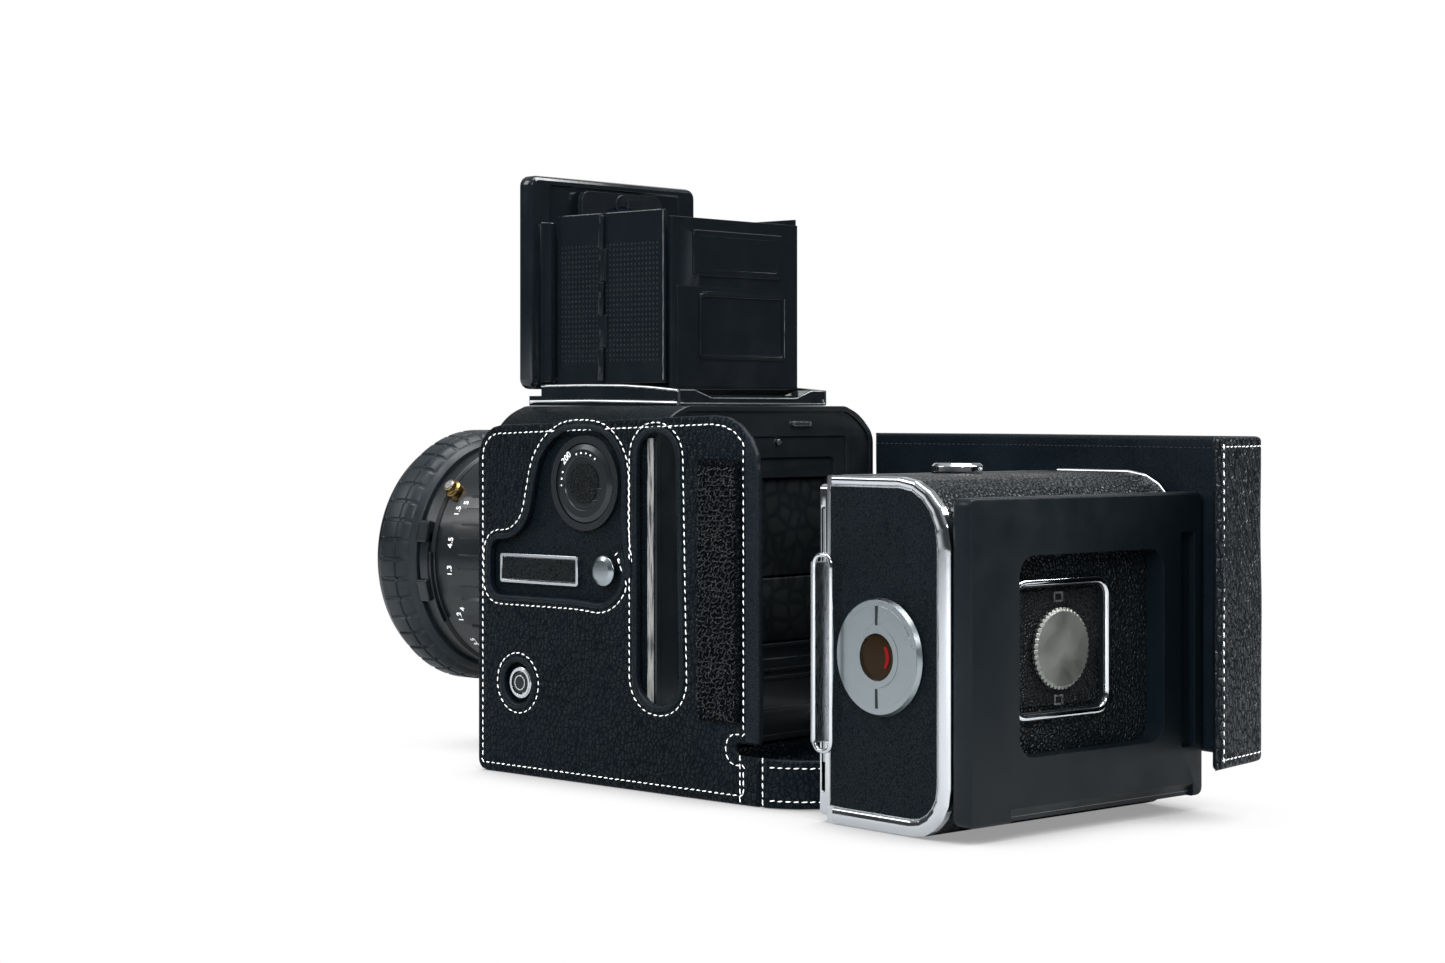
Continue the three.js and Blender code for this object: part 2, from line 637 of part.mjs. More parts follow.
function rearPanel() {
  const { rear } = HOOD;
  const plate = block(-27.1, rear - 1.2, 110.7, 27.1, rear, 159.9);
  const raised = (x0, z0, x1, z1) => extrudeY(rect(x0, z0, x1, z1, 1), rear - 0.2, rear + 0.35);
  return join(plate, raised(-18.2, 143.7, 17.2, 155.5), raised(-19.6, 120.6, 15.3, 139));
}

function magnifierPlate() {
  const { y, thickness, half, bottom, top, lens, centre } = MAGNIFIER;
  const plate = outline(rectCorners(-half, bottom, half, top, 3), circleHole(0, centre, lens));
  const mark = extrudeY(ring(0, 167, 2.9, 2.4), y + thickness - 0.2, y + thickness + 0.25);
  return join(extrudeY(plate, y, y + thickness, { segments: 5 }), mark);
}

function buildFinder() {
  add(camera, 'finder_base', LOOK.black, finderBase());
  add(camera, 'hood_lid', LOOK.black, hoodLid());
  add(camera, 'hood_leaf_front_left', LOOK.black, leaf(1, true));
  add(camera, 'hood_leaf_rear_left', LOOK.black, leaf(1, false));
  add(camera, 'hood_leaf_front_right', LOOK.black, leaf(-1, true));
  add(camera, 'hood_leaf_rear_right', LOOK.black, leaf(-1, false));
  add(camera, 'hood_rear_panel', LOOK.black, rearPanel());
  add(camera, 'magnifier_plate', LOOK.black, magnifierPlate());
  const { y, thickness, lens, centre } = MAGNIFIER;
  const glass = turnedY(
    [[0, y + 0.1], [lens - 0.2, y + 0.4], [lens - 0.2, y + thickness - 0.4], [0, y + thickness - 0.05]],
    0,
    centre,
  );
  add(camera, 'magnifier_lens', LOOK.glass, glass);
}

// ---------------------------------------------------------------- film magazine

// In the magazine's own frame +X is the side with the key and y = 0 is the front of the shell.
const PROFILE = [[0, 0, 0.6], [MAG.depth, 0, 13], [MAG.depth, MAG.height, 17], [0, MAG.height, 0.6]];
const INNER = [[2.2, 2.2, 0], [MAG.depth - 2.2, 2.2, 11], [MAG.depth - 2.2, 86, 15], [2.2, 86, 0]];
const KEY = { y: 19.7, z: 43.5, radius: 14.8 };
const SLIDE = { y0: -1.95, y1: -1.15, z0: 15.2, z1: 79.6 };
const CATCH = { y: 4, stem: 2.4, head: 6.8 };
const FRAME_WINDOW = { half: 28, bottom: 16, top: 72 };
const SPOOLS = { y: 24, low: 20, high: 68, core: 4, flange: 11, half: 32, stub: 6 };
const HOLDER = { x0: -45.4, x1: 42.9, y0: MAG.depth + 0.1, y1: 49.2, z0: 4, z1: 83.4 };

const filmWindow = (y0, y1) => {
  const { half, bottom, top } = FRAME_WINDOW;
  return block(-half, y0, bottom, half, y1, top);
};

function magazineShell() {
  return cut(
    extrudeX(outline(PROFILE), -MAG.half, 41.4, { segments: 5 }),
    extrudeX(outline(INNER), -41, 42, { segments: 5 }),
    filmWindow(-1, 3),
    turnedZ(bar(CATCH.stem + 0.3, 80, MAG.height + 1), 0, CATCH.y, 24),
  );
}

function magazineFrontFrame() {
  const plate = extrudeY(rect(-MAG.half, 1.6, MAG.half, 85.9, 1.5), -3, -GAP);
  return cut(
    plate,
    filmWindow(-4, 1),
    block(-38, SLIDE.y0 - 0.25, 8, MAG.half + 1, SLIDE.y1 + 0.25, SLIDE.z1 + 0.4),
  );
}

function darkSlide() {
  const { y0, y1, z0, z1 } = SLIDE;
  const sheet = block(-37, y0, z0, 46.5, y1, z1);
  const y = (y0 + y1) / 2;
  const loop = outline(rectCorners(y - 0.9, 18, 6.2, 69, 2.6), rectHole(y + 0.9, 19.8, 4.4, 67.2, 1.2));
  return join(sheet, extrudeX(loop, 46.2, 48));
}

function sidePlate() {
  return cut(
    extrudeX(outline(PROFILE), 41.55, MAG.half, { segments: 5 }),
    turnedX(bar(4.4, 41, 44), KEY.y, KEY.z),
  );
}

function windingKey() {
  const face = MAG.half + 0.1;
  const disc = turnedX(
    [[6.2, face], [KEY.radius - 1, face], [KEY.radius, face + 0.6], [KEY.radius - 0.6, face + 1.8],
      [6.6, face + 1.8], [6.2, face + 1.3]],
    KEY.y,
    KEY.z,
  );
  const hub = turnedX(bar(4, 40.2, face + 0.6), KEY.y, KEY.z);
  const web = turnedX(bar(6.6, face, face + 0.5), KEY.y, KEY.z);
  return join(disc, web, hub);
}

function spool(z) {
  const { y, core, flange, half, stub } = SPOOLS;
  return turnedX(
    [[0, -half], [flange, -half], [flange, 1.2 - half], [core, 1.4 - half], [core, half - 1.4],
      [flange, half - 1.2], [flange, half], [core, half], [core, half + stub], [0, half + stub]],
    y,
    z,
    20,
  );
}

// The insert slides in from the key side: a pressure plate behind the film gate and an end wall.
function filmInsert() {
  const { y, low, high } = SPOOLS;
  const plate = block(-30, 3.4, 12, 36, 5, 76);
  const wall = extrudeX(outline([[3.4, 8], [36, 8, 10], [36, 79, 14], [3.4, 79]]), 35, 36.4);
  const hole = (z) => turnedX(bar(5, 34, 37), y, z, 24);
  return cut(join(plate, wall), hole(low), hole(high));
}

function slideHolder() {
  const { x0, x1, y0, y1, z0, z1 } = HOLDER;
  const plate = extrudeY(rect(x0, z0, x1, z1, 2), y0, y1, { bevel: 0.7 });
  const window = extrudeY(rect(-29.6, 19.4, 25.3, 69, 5), y0 - 1, y1 + 1);
  const slot = extrudeY(rect(x0 + 3.3, 17, x0 + 8.8, 73, 0.8), y1 - 1.6, y1 + 1);
  const foot = extrudeX(outline([[y1 - 3, z0 - 1], [y1 + 1, z0 - 1], [y1 + 1, z0 + 5]]), x0 + 4, 28.4);
  return cut(plate, window, slot, foot);
}

function buildMagazine() {
  const magazine = new THREE.Group();
  magazine.position.set(MAG.x, MAG.y, 0);
  magazine.rotation.z = THREE.MathUtils.degToRad(MAG.yaw);
  camera.add(magazine);

  add(magazine, 'magazine_shell', LOOK.leatherette, magazineShell());
  add(magazine, 'magazine_front_frame', LOOK.chrome, magazineFrontFrame());
  add(magazine, 'magazine_side_plate', LOOK.chrome, sidePlate());
  add(magazine, 'winding_key', LOOK.steel, windingKey());
  const face = MAG.half + 0.1;
  const eye = turnedX([[0, face + 0.6], [6, face + 0.6], [6, face + 1.2], [0, face + 1.6]], KEY.y, KEY.z);
  add(magazine, 'key_window', LOOK.glass, eye);
  add(magazine, 'dark_slide', LOOK.steel, darkSlide());
  const head = turnedZ(
    [[0, 86.2], [CATCH.stem, 86.2], [CATCH.stem, 88.5], [CATCH.head, 88.5], [CATCH.head, 90],
      [CATCH.head - 0.8, 90.8], [0, 91]],
    0,
    CATCH.y,
  );
  add(magazine, 'magazine_release_button', LOOK.steel, head);
  add(magazine, 'film_insert_frame', LOOK.steel, filmInsert());
  add(magazine, 'supply_spool', LOOK.black, spool(SPOOLS.low));
  add(magazine, 'take_up_spool', LOOK.black, spool(SPOOLS.high));
  add(magazine, 'slide_holder', LOOK.plastic, slideHolder());

  const rear = MAG.depth + 0.1;
  const frame = outline(rectCorners(-13.1, 27.5, 24.5, 63, 4), rectHole(-11.3, 29.3, 22.7, 61.2, 2.6));
  add(magazine, 'reminder_frame', LOOK.chrome, extrudeY(frame, rear, rear + 2.6, { segments: 4 }));
  const disc = turnedY(
    [[0, rear], [9.4, rear], [10.3, rear + 0.6], [10.3, rear + 1.5], [9.4, rear + 2], [0, rear + 1.6]],
    0,
    0,
    40,
  );
  add(magazine, 'reminder_disc', LOOK.steel, disc).position.set(5, 0, 45);
}

buildBody();
buildMirrorAndDoors();
buildSideFittings();
buildLens();
buildCase();
buildFinder();
buildMagazine();

export default camera;
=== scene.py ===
"""Looks of a modular reflex camera in a leather half case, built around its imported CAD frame.

Lengths in this file are millimetres. They become metres where a mesh or a curve is made.
"""

import json
import math
import random

import bmesh
import bpy
from mathutils import Matrix, Vector, noise
from mathutils.bvhtree import BVHTree
from mathutils.geometry import tessellate_polygon


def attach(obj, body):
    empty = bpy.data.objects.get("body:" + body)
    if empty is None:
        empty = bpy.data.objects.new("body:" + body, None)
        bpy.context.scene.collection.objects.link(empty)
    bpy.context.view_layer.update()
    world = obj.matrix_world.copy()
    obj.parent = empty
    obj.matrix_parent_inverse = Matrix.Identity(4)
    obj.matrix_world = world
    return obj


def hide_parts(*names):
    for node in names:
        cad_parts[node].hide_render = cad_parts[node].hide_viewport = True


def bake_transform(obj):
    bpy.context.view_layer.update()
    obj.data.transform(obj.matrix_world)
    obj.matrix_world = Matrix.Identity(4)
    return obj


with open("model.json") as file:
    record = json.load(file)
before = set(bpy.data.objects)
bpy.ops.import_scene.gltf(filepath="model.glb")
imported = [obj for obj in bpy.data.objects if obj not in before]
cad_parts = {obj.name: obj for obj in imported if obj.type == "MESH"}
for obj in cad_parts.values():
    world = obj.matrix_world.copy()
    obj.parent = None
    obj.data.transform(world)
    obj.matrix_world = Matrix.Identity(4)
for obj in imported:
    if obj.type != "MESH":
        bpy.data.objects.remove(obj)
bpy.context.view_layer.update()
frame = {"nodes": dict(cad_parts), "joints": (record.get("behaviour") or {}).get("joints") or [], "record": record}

MM = 0.001
RECORD = frame["record"]
BODY_OF = {n: body for body, nodes in RECORD["behaviour"]["bodies"].items() for n in nodes}
SLOT_OF = {part["node"]: part["material_slot"] for part in RECORD["subparts"]}
JOINTS = {joint["name"]: joint for joint in frame["joints"]}
SIDEWAYS = Vector((1, 0, 0))
BACK = Vector((0, 1, 0))
UP = Vector((0, 0, 1))

# The magazine stands a little turned, so its pieces are worked out in its own axes.
MAG_SIDE = Vector(JOINTS["dark_slide_pull"]["axis"]).normalized()
MAG_BACK = Vector(JOINTS["reminder_disc_turn"]["axis"]).normalized()
MAG_TURN = Matrix((MAG_SIDE, MAG_BACK, UP)).transposed()


def points_of(node, turn=None):
    back = turn.inverted() if turn else Matrix.Identity(3)
    return [back @ (v.co / MM) for v in frame["nodes"][node].data.vertices]


def corners(node, turn=None):
    """Lowest and highest corner of a CAD node, in millimetres, in the row's or the turned axes."""
    points = points_of(node, turn)
    low = Vector(min(p[i] for p in points) for i in range(3))
    high = Vector(max(p[i] for p in points) for i in range(3))
    return low, high


def middle(node, turn=None):
    low, high = corners(node, turn)
    return (low + high) / 2


def surface_at(node, start, direction):
    """Where a ray from start meets a CAD node, or None."""
    mesh = frame["nodes"][node].data
    faces = [tuple(face.vertices) for face in mesh.polygons]
    tree = BVHTree.FromPolygons([v.co / MM for v in mesh.vertices], faces)
    return tree.ray_cast(start, direction)[0]


def end_normal(node, rough):
    """Exact direction of the flat face at the end of a node that looks roughly this way."""
    faces = frame["nodes"][node].data.polygons
    return max(faces, key=lambda face: (round(face.normal.dot(rough), 2), face.area)).normal.copy()


def joint_line(name):
    joint = JOINTS[name]
    return Vector(joint["pos_m"]) / MM, Vector(joint["axis"]).normalized()


# ------------------------------------------------------------------ materials


class Look:
    """A principled material under construction, with its nodes worked out in millimetres."""

    def __init__(self, name, color, roughness, metallic=0.0, **extra):
        self.material = bpy.data.materials.new(name)
        self.material.use_nodes = True
        self.tree = self.material.node_tree
        self.shader = self.tree.nodes["Principled BSDF"]
        self.set("Base Color", (*color, 1))
        self.set("Roughness", roughness)
        self.set("Metallic", metallic)
        for socket, value in extra.items():
            self.set(socket.replace("_", " "), value)
        place = self.node("ShaderNodeTexCoord")
        scale = self.node("ShaderNodeVectorMath", operation="SCALE")
        scale.inputs["Scale"].default_value = 1 / MM
        self.link(place.outputs["Object"], scale.inputs[0])
        self.here = scale.outputs[0]

    def set(self, socket, value):
        self.shader.inputs[socket].default_value = value

    def node(self, kind, **settings):
        made = self.tree.nodes.new(kind)
        for key, value in settings.items():
            setattr(made, key, value)
        return made

    def link(self, source, target):
        self.tree.links.new(source, target)

    def stretched(self, factors):
        made = self.node("ShaderNodeVectorMath", operation="MULTIPLY")
        made.inputs[1].default_value = factors
        self.link(self.here, made.inputs[0])
        return made.outputs[0]

    def clouds(self, size, detail=3.0, where=None):
        made = self.node("ShaderNodeTexNoise")
        made.inputs["Scale"].default_value = 1 / size
        made.inputs["Detail"].default_value = detail
        self.link(where or self.here, made.inputs["Vector"])
        return made

    def pebbles(self, size, wander=0.5):
        """Height of rounded cells with creases between them, from 0 in a crease to 1 on a crown."""
        drift = self.clouds(size * 2.2, 2.0)
        pull = self.node("ShaderNodeVectorMath", operation="MULTIPLY_ADD")
        pull.inputs[1].default_value = (size * wander,) * 3
        self.link(drift.outputs["Color"], pull.inputs[0])
        self.link(self.here, pull.inputs[2])
        cells = self.node("ShaderNodeTexVoronoi", feature="DISTANCE_TO_EDGE")
        cells.inputs["Scale"].default_value = 1 / size
        self.link(pull.outputs[0], cells.inputs["Vector"])
        return self.spread(cells.outputs["Distance"], 0.0, 0.3, 0.0, 1.0, smooth=True)

    def spread(self, source, low, high, new_low, new_high, smooth=False):
        made = self.node("ShaderNodeMapRange")
        if smooth:
            made.interpolation_type = "SMOOTHSTEP"
        ends = {"From Min": low, "From Max": high, "To Min": new_low, "To Max": new_high}
        for socket, value in ends.items():
            made.inputs[socket].default_value = value
        self.link(source, made.inputs["Value"])
        return made.outputs[0]

    def sum(self, first, second, share):
        made = self.node("ShaderNodeMath", operation="MULTIPLY_ADD")
        made.inputs[1].default_value = share
        self.link(second, made.inputs[0])
        self.link(first, made.inputs[2])
        return made.outputs[0]

    def bump(self, height, depth, strength=1.0):
        made = self.node("ShaderNodeBump")
        made.inputs["Strength"].default_value = strength
        made.inputs["Distance"].default_value = depth * MM
        self.link(height, made.inputs["Height"])
        self.link(made.outputs["Normal"], self.shader.inputs["Normal"])

    def vary_roughness(self, source, low, high):
        self.link(self.spread(source, 0.3, 0.7, low, high), self.shader.inputs["Roughness"])

    def vary_color(self, source, dark, light, low=0.3, high=0.7):
        mix = self.node("ShaderNodeMix", data_type="RGBA")
        self.link(self.spread(source, low, high, 0, 1), mix.inputs["Factor"])
        mix.inputs["A"].default_value = (*dark, 1)
        mix.inputs["B"].default_value = (*light, 1)
        self.link(mix.outputs["Result"], self.shader.inputs["Base Color"])

    def worn_edges(self, color, width, amount):
        """Lightens the color where the surface turns sharply, as on rubbed edges."""
        bevel = self.node("ShaderNodeBevel", samples=4)
        bevel.inputs["Radius"].default_value = width * MM
        plain = self.node("ShaderNodeNewGeometry")
        turn = self.node("ShaderNodeVectorMath", operation="DOT_PRODUCT")
        self.link(bevel.outputs[0], turn.inputs[0])
        self.link(plain.outputs["Normal"], turn.inputs[1])
        rubbed = self.spread(turn.outputs["Value"], 0.97, 0.75, 0, amount)
        patchy = self.node("ShaderNodeMath", operation="MULTIPLY")
        self.link(rubbed, patchy.inputs[0])
        self.link(self.spread(self.clouds(1.2).outputs["Fac"], 0.42, 0.6, 0, 1), patchy.inputs[1])
        mix = self.node("ShaderNodeMix", data_type="RGBA")
        self.link(patchy.outputs[0], mix.inputs["Factor"])
        mix.inputs["A"].default_value = self.shader.inputs["Base Color"].default_value
        mix.inputs["B"].default_value = (*color, 1)
        self.link(mix.outputs["Result"], self.shader.inputs["Base Color"])


def grained(name, color, size, depth, rough, stretch=None, tooth_share=0.14, sheen=0.22):
    """Leather or leather cloth: pebbles of one size, a finer tooth on top and uneven sheen."""
    look = Look(name, color, rough)
    if stretch:
        look.here = look.stretched(stretch)
    tooth = look.clouds(size * 0.25, 4.0).outputs["Fac"]
    cells = look.pebbles(size)
    look.bump(look.sum(cells, tooth, tooth_share), depth)
    look.link(look.spread(cells, 0, 0.8, 0.04, sheen), look.shader.inputs["Specular IOR Level"])
    broad = look.clouds(18, 2.0).outputs["Fac"]
    look.vary_roughness(broad, rough - 0.07, rough + 0.08)
    look.vary_color(broad, [c * 0.8 for c in color], [c * 1.3 for c in color])
    return look.material


def enamel(name, color, rough, worn=0.25, coat=0.25, sheen=0.5):
    look = Look(name, color, rough, Coat_Weight=coat, Coat_Roughness=0.12)
    look.set("Specular IOR Level", sheen)
    look.worn_edges((0.16, 0.17, 0.17), 0.25, worn)
    look.bump(look.clouds(0.7, 2.0).outputs["Fac"], 0.012)
    look.vary_roughness(look.clouds(9).outputs["Fac"], rough - 0.06, rough + 0.08)
    return look.material


def polished(name, color, rough, size=14.0):
    look = Look(name, color, rough, metallic=1.0)
    look.vary_roughness(look.clouds(size, 5.0).outputs["Fac"], rough * 0.7, rough * 1.6)
    look.bump(look.clouds(9.0, 1.0).outputs["Fac"], 0.004)
    return look.material


def rubbed_strip(name, color):
    """Metal rubbed bright in streaks along its height, with dark patches left between them."""
    look = Look(name, color, 0.55, metallic=0.2)
    streaks = look.clouds(0.5, 4.0, look.stretched((1, 1, 0.07))).outputs["Fac"]
    look.vary_color(streaks, (0.03, 0.032, 0.035), color, 0.38, 0.56)
    look.bump(streaks, 0.02)
    return look.material


def brushed(name, color, rough):
    look = Look(name, color, rough, metallic=1.0)
    lines = look.clouds(0.22, 2.0, look.stretched((1, 1, 0.05))).outputs["Fac"]
    look.vary_roughness(lines, rough - 0.08, rough + 0.12)
    look.bump(lines, 0.006)
    return look.material


def rubbery(name, color):
    look = Look(name, color, 0.42)
    look.bump(look.clouds(0.35, 3.0).outputs["Fac"], 0.02)
    look.vary_roughness(look.clouds(7).outputs["Fac"], 0.34, 0.5)
    look.vary_color(look.clouds(12).outputs["Fac"], [c * 0.7 for c in color], [c * 1.5 for c in color])
    return look.material


def glassy(name, color, rough, alpha_tint, coat=1.0, sheen=0.5):
    look = Look(name, color, rough, Coat_Weight=coat, Coat_Roughness=0.02)
    look.set("Specular IOR Level", sheen)
    look.set("Specular Tint", (*alpha_tint, 1))
    look.vary_roughness(look.clouds(11).outputs["Fac"], rough, rough + 0.05)
    return look.material


def hooked(name, color, size):
    """Loop tape: a mat of tiny dark curls, a few of which catch the light."""
    look = Look(name, color, 0.6)
    curls = look.pebbles(size, 1.4)
    look.bump(curls, 0.3)
    look.link(look.spread(curls, 0.75, 1.0, 0.02, 0.3), look.shader.inputs["Specular IOR Level"])
    look.vary_color(look.clouds(size * 0.8, 2.0).outputs["Fac"], color, (0.012, 0.014, 0.017), 0.6, 0.7)
    return look.material


def woven(name, color, size):
    look = Look(name, color, 0.85)
    look.set("Specular IOR Level", 0.2)
    look.bump(look.clouds(size, 3.0).outputs["Fac"], 0.08)
    patches = look.clouds(size * 4).outputs["Fac"]
    look.vary_color(patches, [c * 0.75 for c in color], [c * 1.2 for c in color])
    return look.material


LOOKS = {
    "leather": grained("pebbled_leather", (0.0012, 0.0026, 0.0040), 1.4, 0.2, 0.44, (1, 1, 0.8)),
    "flap_leather": grained("flap_leather", (0.0026, 0.0042, 0.0058), 1.7, 0.46, 0.38,
                            (1.3, 1.3, 0.75), sheen=0.46),
    "smooth_leather": grained("smooth_leather", (0.0026, 0.0046, 0.0064), 0.45, 0.025, 0.36, sheen=0.34),
    "leatherette": grained("fine_leatherette", (0.0016, 0.0032, 0.0044), 0.8, 0.12, 0.42),
    "top_leatherette": grained("magazine_leatherette", (0.003, 0.0044, 0.0056), 1.2, 0.26, 0.34, sheen=0.5),
    "plaque": grained("plaque_leatherette", (0.0026, 0.0034, 0.004), 0.8, 0.24, 0.38, sheen=0.4),
    "door": grained("door_lining", (0.0026, 0.0034, 0.004), 5.5, 0.05, 0.5, sheen=0.16),
    "chrome": polished("bright_chrome", (0.78, 0.8, 0.82), 0.09),
    "worn": rubbed_strip("worn_strip", (0.2, 0.2, 0.195)),
    "steel": brushed("satin_steel", (0.52, 0.54, 0.55), 0.28),
    "key_steel": polished("key_steel", (0.42, 0.47, 0.49), 0.24, 60.0),
    "disc_steel": polished("disc_steel", (0.36, 0.37, 0.34), 0.42, 9.0),
    "brass": polished("brass", (0.55, 0.36, 0.13), 0.22),
    "enamel": enamel("black_enamel", (0.0045, 0.006, 0.0075), 0.2),
    "hood": enamel("hood_enamel", (0.003, 0.0045, 0.006), 0.14, 0.12),
    "satin": enamel("satin_black", (0.003, 0.0042, 0.0052), 0.33, 0.1),
    "plastic": enamel("black_plastic", (0.0018, 0.0036, 0.005), 0.4, 0.05, 0.05, 0.26),
    # grey with worn edges; its light grey colour paints the floor's reflection in the holder's foot strip
    "grey": enamel("wear_and_floor_reflection_grey", (0.075, 0.085, 0.09), 0.4, 0.3),
    # flat black fills holes and slits, where it paints the shade inside them
    "flat": enamel("black_painted_shade", (0.0025, 0.003, 0.0035), 0.6, 0.0),
    "rubber": rubbery("ring_rubber", (0.0045, 0.007, 0.009)),
    "loop": enamel("loop_thread", (0.009, 0.01, 0.011), 0.34, 0.0),
    "tape": hooked("loop_tape", (0.0008, 0.0012, 0.0018), 0.9),
    "thread": woven("white_thread", (0.86, 0.87, 0.86), 0.2),
    "dark_thread": woven("dark_thread", (0.02, 0.023, 0.025), 0.2),
    "ink": woven("white_paint", (0.8, 0.81, 0.8), 0.3),
    "lens": glassy("coated_glass", (0.004, 0.006, 0.012), 0.02, (0.75, 0.7, 1.0)),
    "amber": glassy("amber_window", (0.0095, 0.0052, 0.0024), 0.1, (1.0, 0.8, 0.6), 0.0, 0.12),
    "red": glassy("red_film_mark", (0.1, 0.004, 0.004), 0.2, (1, 0.5, 0.5), 0.0, 0.1),
    "ground_glass": glassy("ground_glass", (0.35, 0.37, 0.37), 0.4, (1, 1, 1)),
    "mirror": polished("mirror_silver", (0.86, 0.87, 0.88), 0.02),
}

# ------------------------------------------------------------------ making pieces


def finish_piece(name, mesh, body, looks, slot, stands_for=(), width=0.0, segments=2, sharp=32):
    """Turns a mesh in metres into a shaded piece that rides on a body."""
    obj = bpy.data.objects.new(name, mesh)
    bpy.context.scene.collection.objects.link(obj)
    for look in looks:
        mesh.materials.append(LOOKS[look])
    mesh.shade_smooth()
    mesh.set_sharp_from_angle(angle=math.radians(sharp))
    if width:
        edge = obj.modifiers.new("rounded_edges", "BEVEL")
        edge.width = width * MM
        edge.segments = segments
        edge.limit_method = "ANGLE"
        edge.angle_limit = math.radians(28)
        edge.harden_normals = True
    if body:
        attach(obj, body)
    if stands_for:
        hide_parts(*stands_for)
    return obj


def mesh_of(name, verts, faces, turn=None, marks=None):
    """A welded mesh in metres from millimetre points. marks gives the material number of each face."""
    mesh = bpy.data.meshes.new(name)
    rotate = turn or Matrix.Identity(3)
    mesh.from_pydata([(rotate @ Vector(v)) * MM for v in verts], [], faces)
    if marks:
        mesh.polygons.foreach_set("material_index", marks)
    work = bmesh.new()
    work.from_mesh(mesh)
    bmesh.ops.remove_doubles(work, verts=work.verts, dist=2e-6)
    bmesh.ops.dissolve_degenerate(work, edges=work.edges, dist=1e-6)
    bmesh.ops.recalc_face_normals(work, faces=work.faces)
    work.to_mesh(mesh)
    work.free()
    return mesh


def make(name, body, look, shape, slot, stands_for=(), turn=None, **options):
    verts, faces = shape
    mesh = mesh_of(name, verts, faces, turn)
    return finish_piece(name, mesh, body, [look], slot, stands_for, **options)


def clean_copy(node):
    """A CAD node's shape in metres, with its facets joined into flat faces."""
    work = bmesh.new()
    work.from_mesh(frame["nodes"][node].data)
    bmesh.ops.remove_doubles(work, verts=work.verts, dist=2e-6)
    bmesh.ops.dissolve_limit(
        work, angle_limit=math.radians(0.6), verts=work.verts, edges=work.edges
    )
    return work


def refine(node, look, width=0.25, second=None, **options):
    """The CAD node's own shape with rounded edges. second is (another look, test of where it goes)."""
    work = clean_copy(node)
    if second:
        for face in work.faces:
            face.material_index = int(second[1](face.calc_center_median() / MM, face.normal))
    mesh = bpy.data.meshes.new(node + "_finish")
    work.to_mesh(mesh)
    work.free()
    looks = [look, second[0]] if second else [look]
    name = node + "_finish"
    return finish_piece(name, mesh, BODY_OF[node], looks, SLOT_OF[node], [node], width, **options)


# ------------------------------------------------------------------ shapes


def joined(*shapes):
    verts, faces = [], []
    for more_verts, more_faces in shapes:
        base = len(verts)
        verts.extend(more_verts)
        faces.extend([tuple(base + i for i in face) for face in more_faces])
    return verts, faces


def box(low, high):
    (x0, y0, z0), (x1, y1, z1) = low, high
    verts = [(x, y, z) for x in (x0, x1) for y in (y0, y1) for z in (z0, z1)]
    faces = [(0, 1, 3, 2), (4, 6, 7, 5), (0, 4, 5, 1), (2, 3, 7, 6), (0, 2, 6, 4), (1, 5, 7, 3)]
    return verts, faces


def rounded(points, steps=6):
    """A closed outline from corners (u, v, fillet radius)."""
    made = []
    count = len(points)
    for i, (u, v, radius) in enumerate(points):
        here = Vector((u, v))
        if not radius:
            made.append((u, v))
            continue
        before = Vector(points[i - 1][:2]) - here
        after = Vector(points[(i + 1) % count][:2]) - here
        start, end = here + before.normalized() * radius, here + after.normalized() * radius
        for k in range(steps + 1):
            t = k / steps
            first, last = start.lerp(here, 0.5523), end.lerp(here, 0.5523)
            point = (
                start * (1 - t) ** 3 + first * 3 * t * (1 - t) ** 2 + last * 3 * t * t * (1 - t) + end * t**3
            )
            made.append((point.x, point.y))
    return made


def rectangle(u0, v0, u1, v1, radius=0.0):
    return rounded([(u0, v0, radius), (u1, v0, radius), (u1, v1, radius), (u0, v1, radius)])


def arc_points(cu, cv, radius, start, end, steps):
    angles = [start + (end - start) * k / steps for k in range(steps + 1)]
    return [(cu + radius * math.cos(a), cv + radius * math.sin(a)) for a in angles]


def sector(cu, cv, inner, outer, start, end, steps=24):
    """Outline of a part of a flat ring, between two angles."""
    return arc_points(cu, cv, outer, start, end, steps) + arc_points(cu, cv, inner, end, start, steps)


ORDER = {
    "x": lambda u, v, w: (w, u, v),
    "y": lambda u, v, w: (u, w, v),
    "z": lambda u, v, w: (u, v, w),
}


def prism(loops, start, end, axis):
    """A straight extrusion along an axis of an outline, with any holes after it."""
    flat = [point for loop in loops for point in loop]
    place, count = ORDER[axis], len(flat)
    verts = [place(u, v, w) for w in (start, end) for u, v in flat]
    faces = []
    for a, b, c in tessellate_polygon([[Vector((u, v, 0)) for u, v in loop] for loop in loops]):
        faces += [(a, b, c), (count + c, count + b, count + a)]
    base = 0
    for loop in loops:
        size = len(loop)
        for i in range(size):
            a, b = base + i, base + (i + 1) % size
            faces.append((a, b, count + b, count + a))
        base += size
    return verts, faces


def turned(runs, centre, axis, start, columns, sink=None):
    """Turns profile runs [((radius, along), (radius, along)), ...] about an axis.

    sink(angle, radius, along) says how far the surface lies below the profile there.
    """
    across = axis.cross(start)
    verts, faces = [], []
    for first, second in runs:
        base = len(verts)
        for k in range(columns):
            angle = 2 * math.pi * k / columns
            out = start * math.cos(angle) + across * math.sin(angle)
            for radius, along in (first, second):
                depth = sink(angle, radius, along) if sink else 0
                verts.append(centre + axis * along + out * max(0, radius - depth))
        for k in range(columns):
            a, b = base + 2 * k, base + 2 * ((k + 1) % columns)
            faces.append((a, b, b + 1, a + 1))
    return verts, faces


def closed_runs(profile):
    return list(zip(profile, profile[1:] + profile[:1]))


def ring_runs(inner, outer, start, end):
    """The profile of a plain ring between two places on its axis. An inner radius of 0 makes a bar."""
    return closed_runs([(inner, start), (outer, start), (outer, end), (inner, end)])


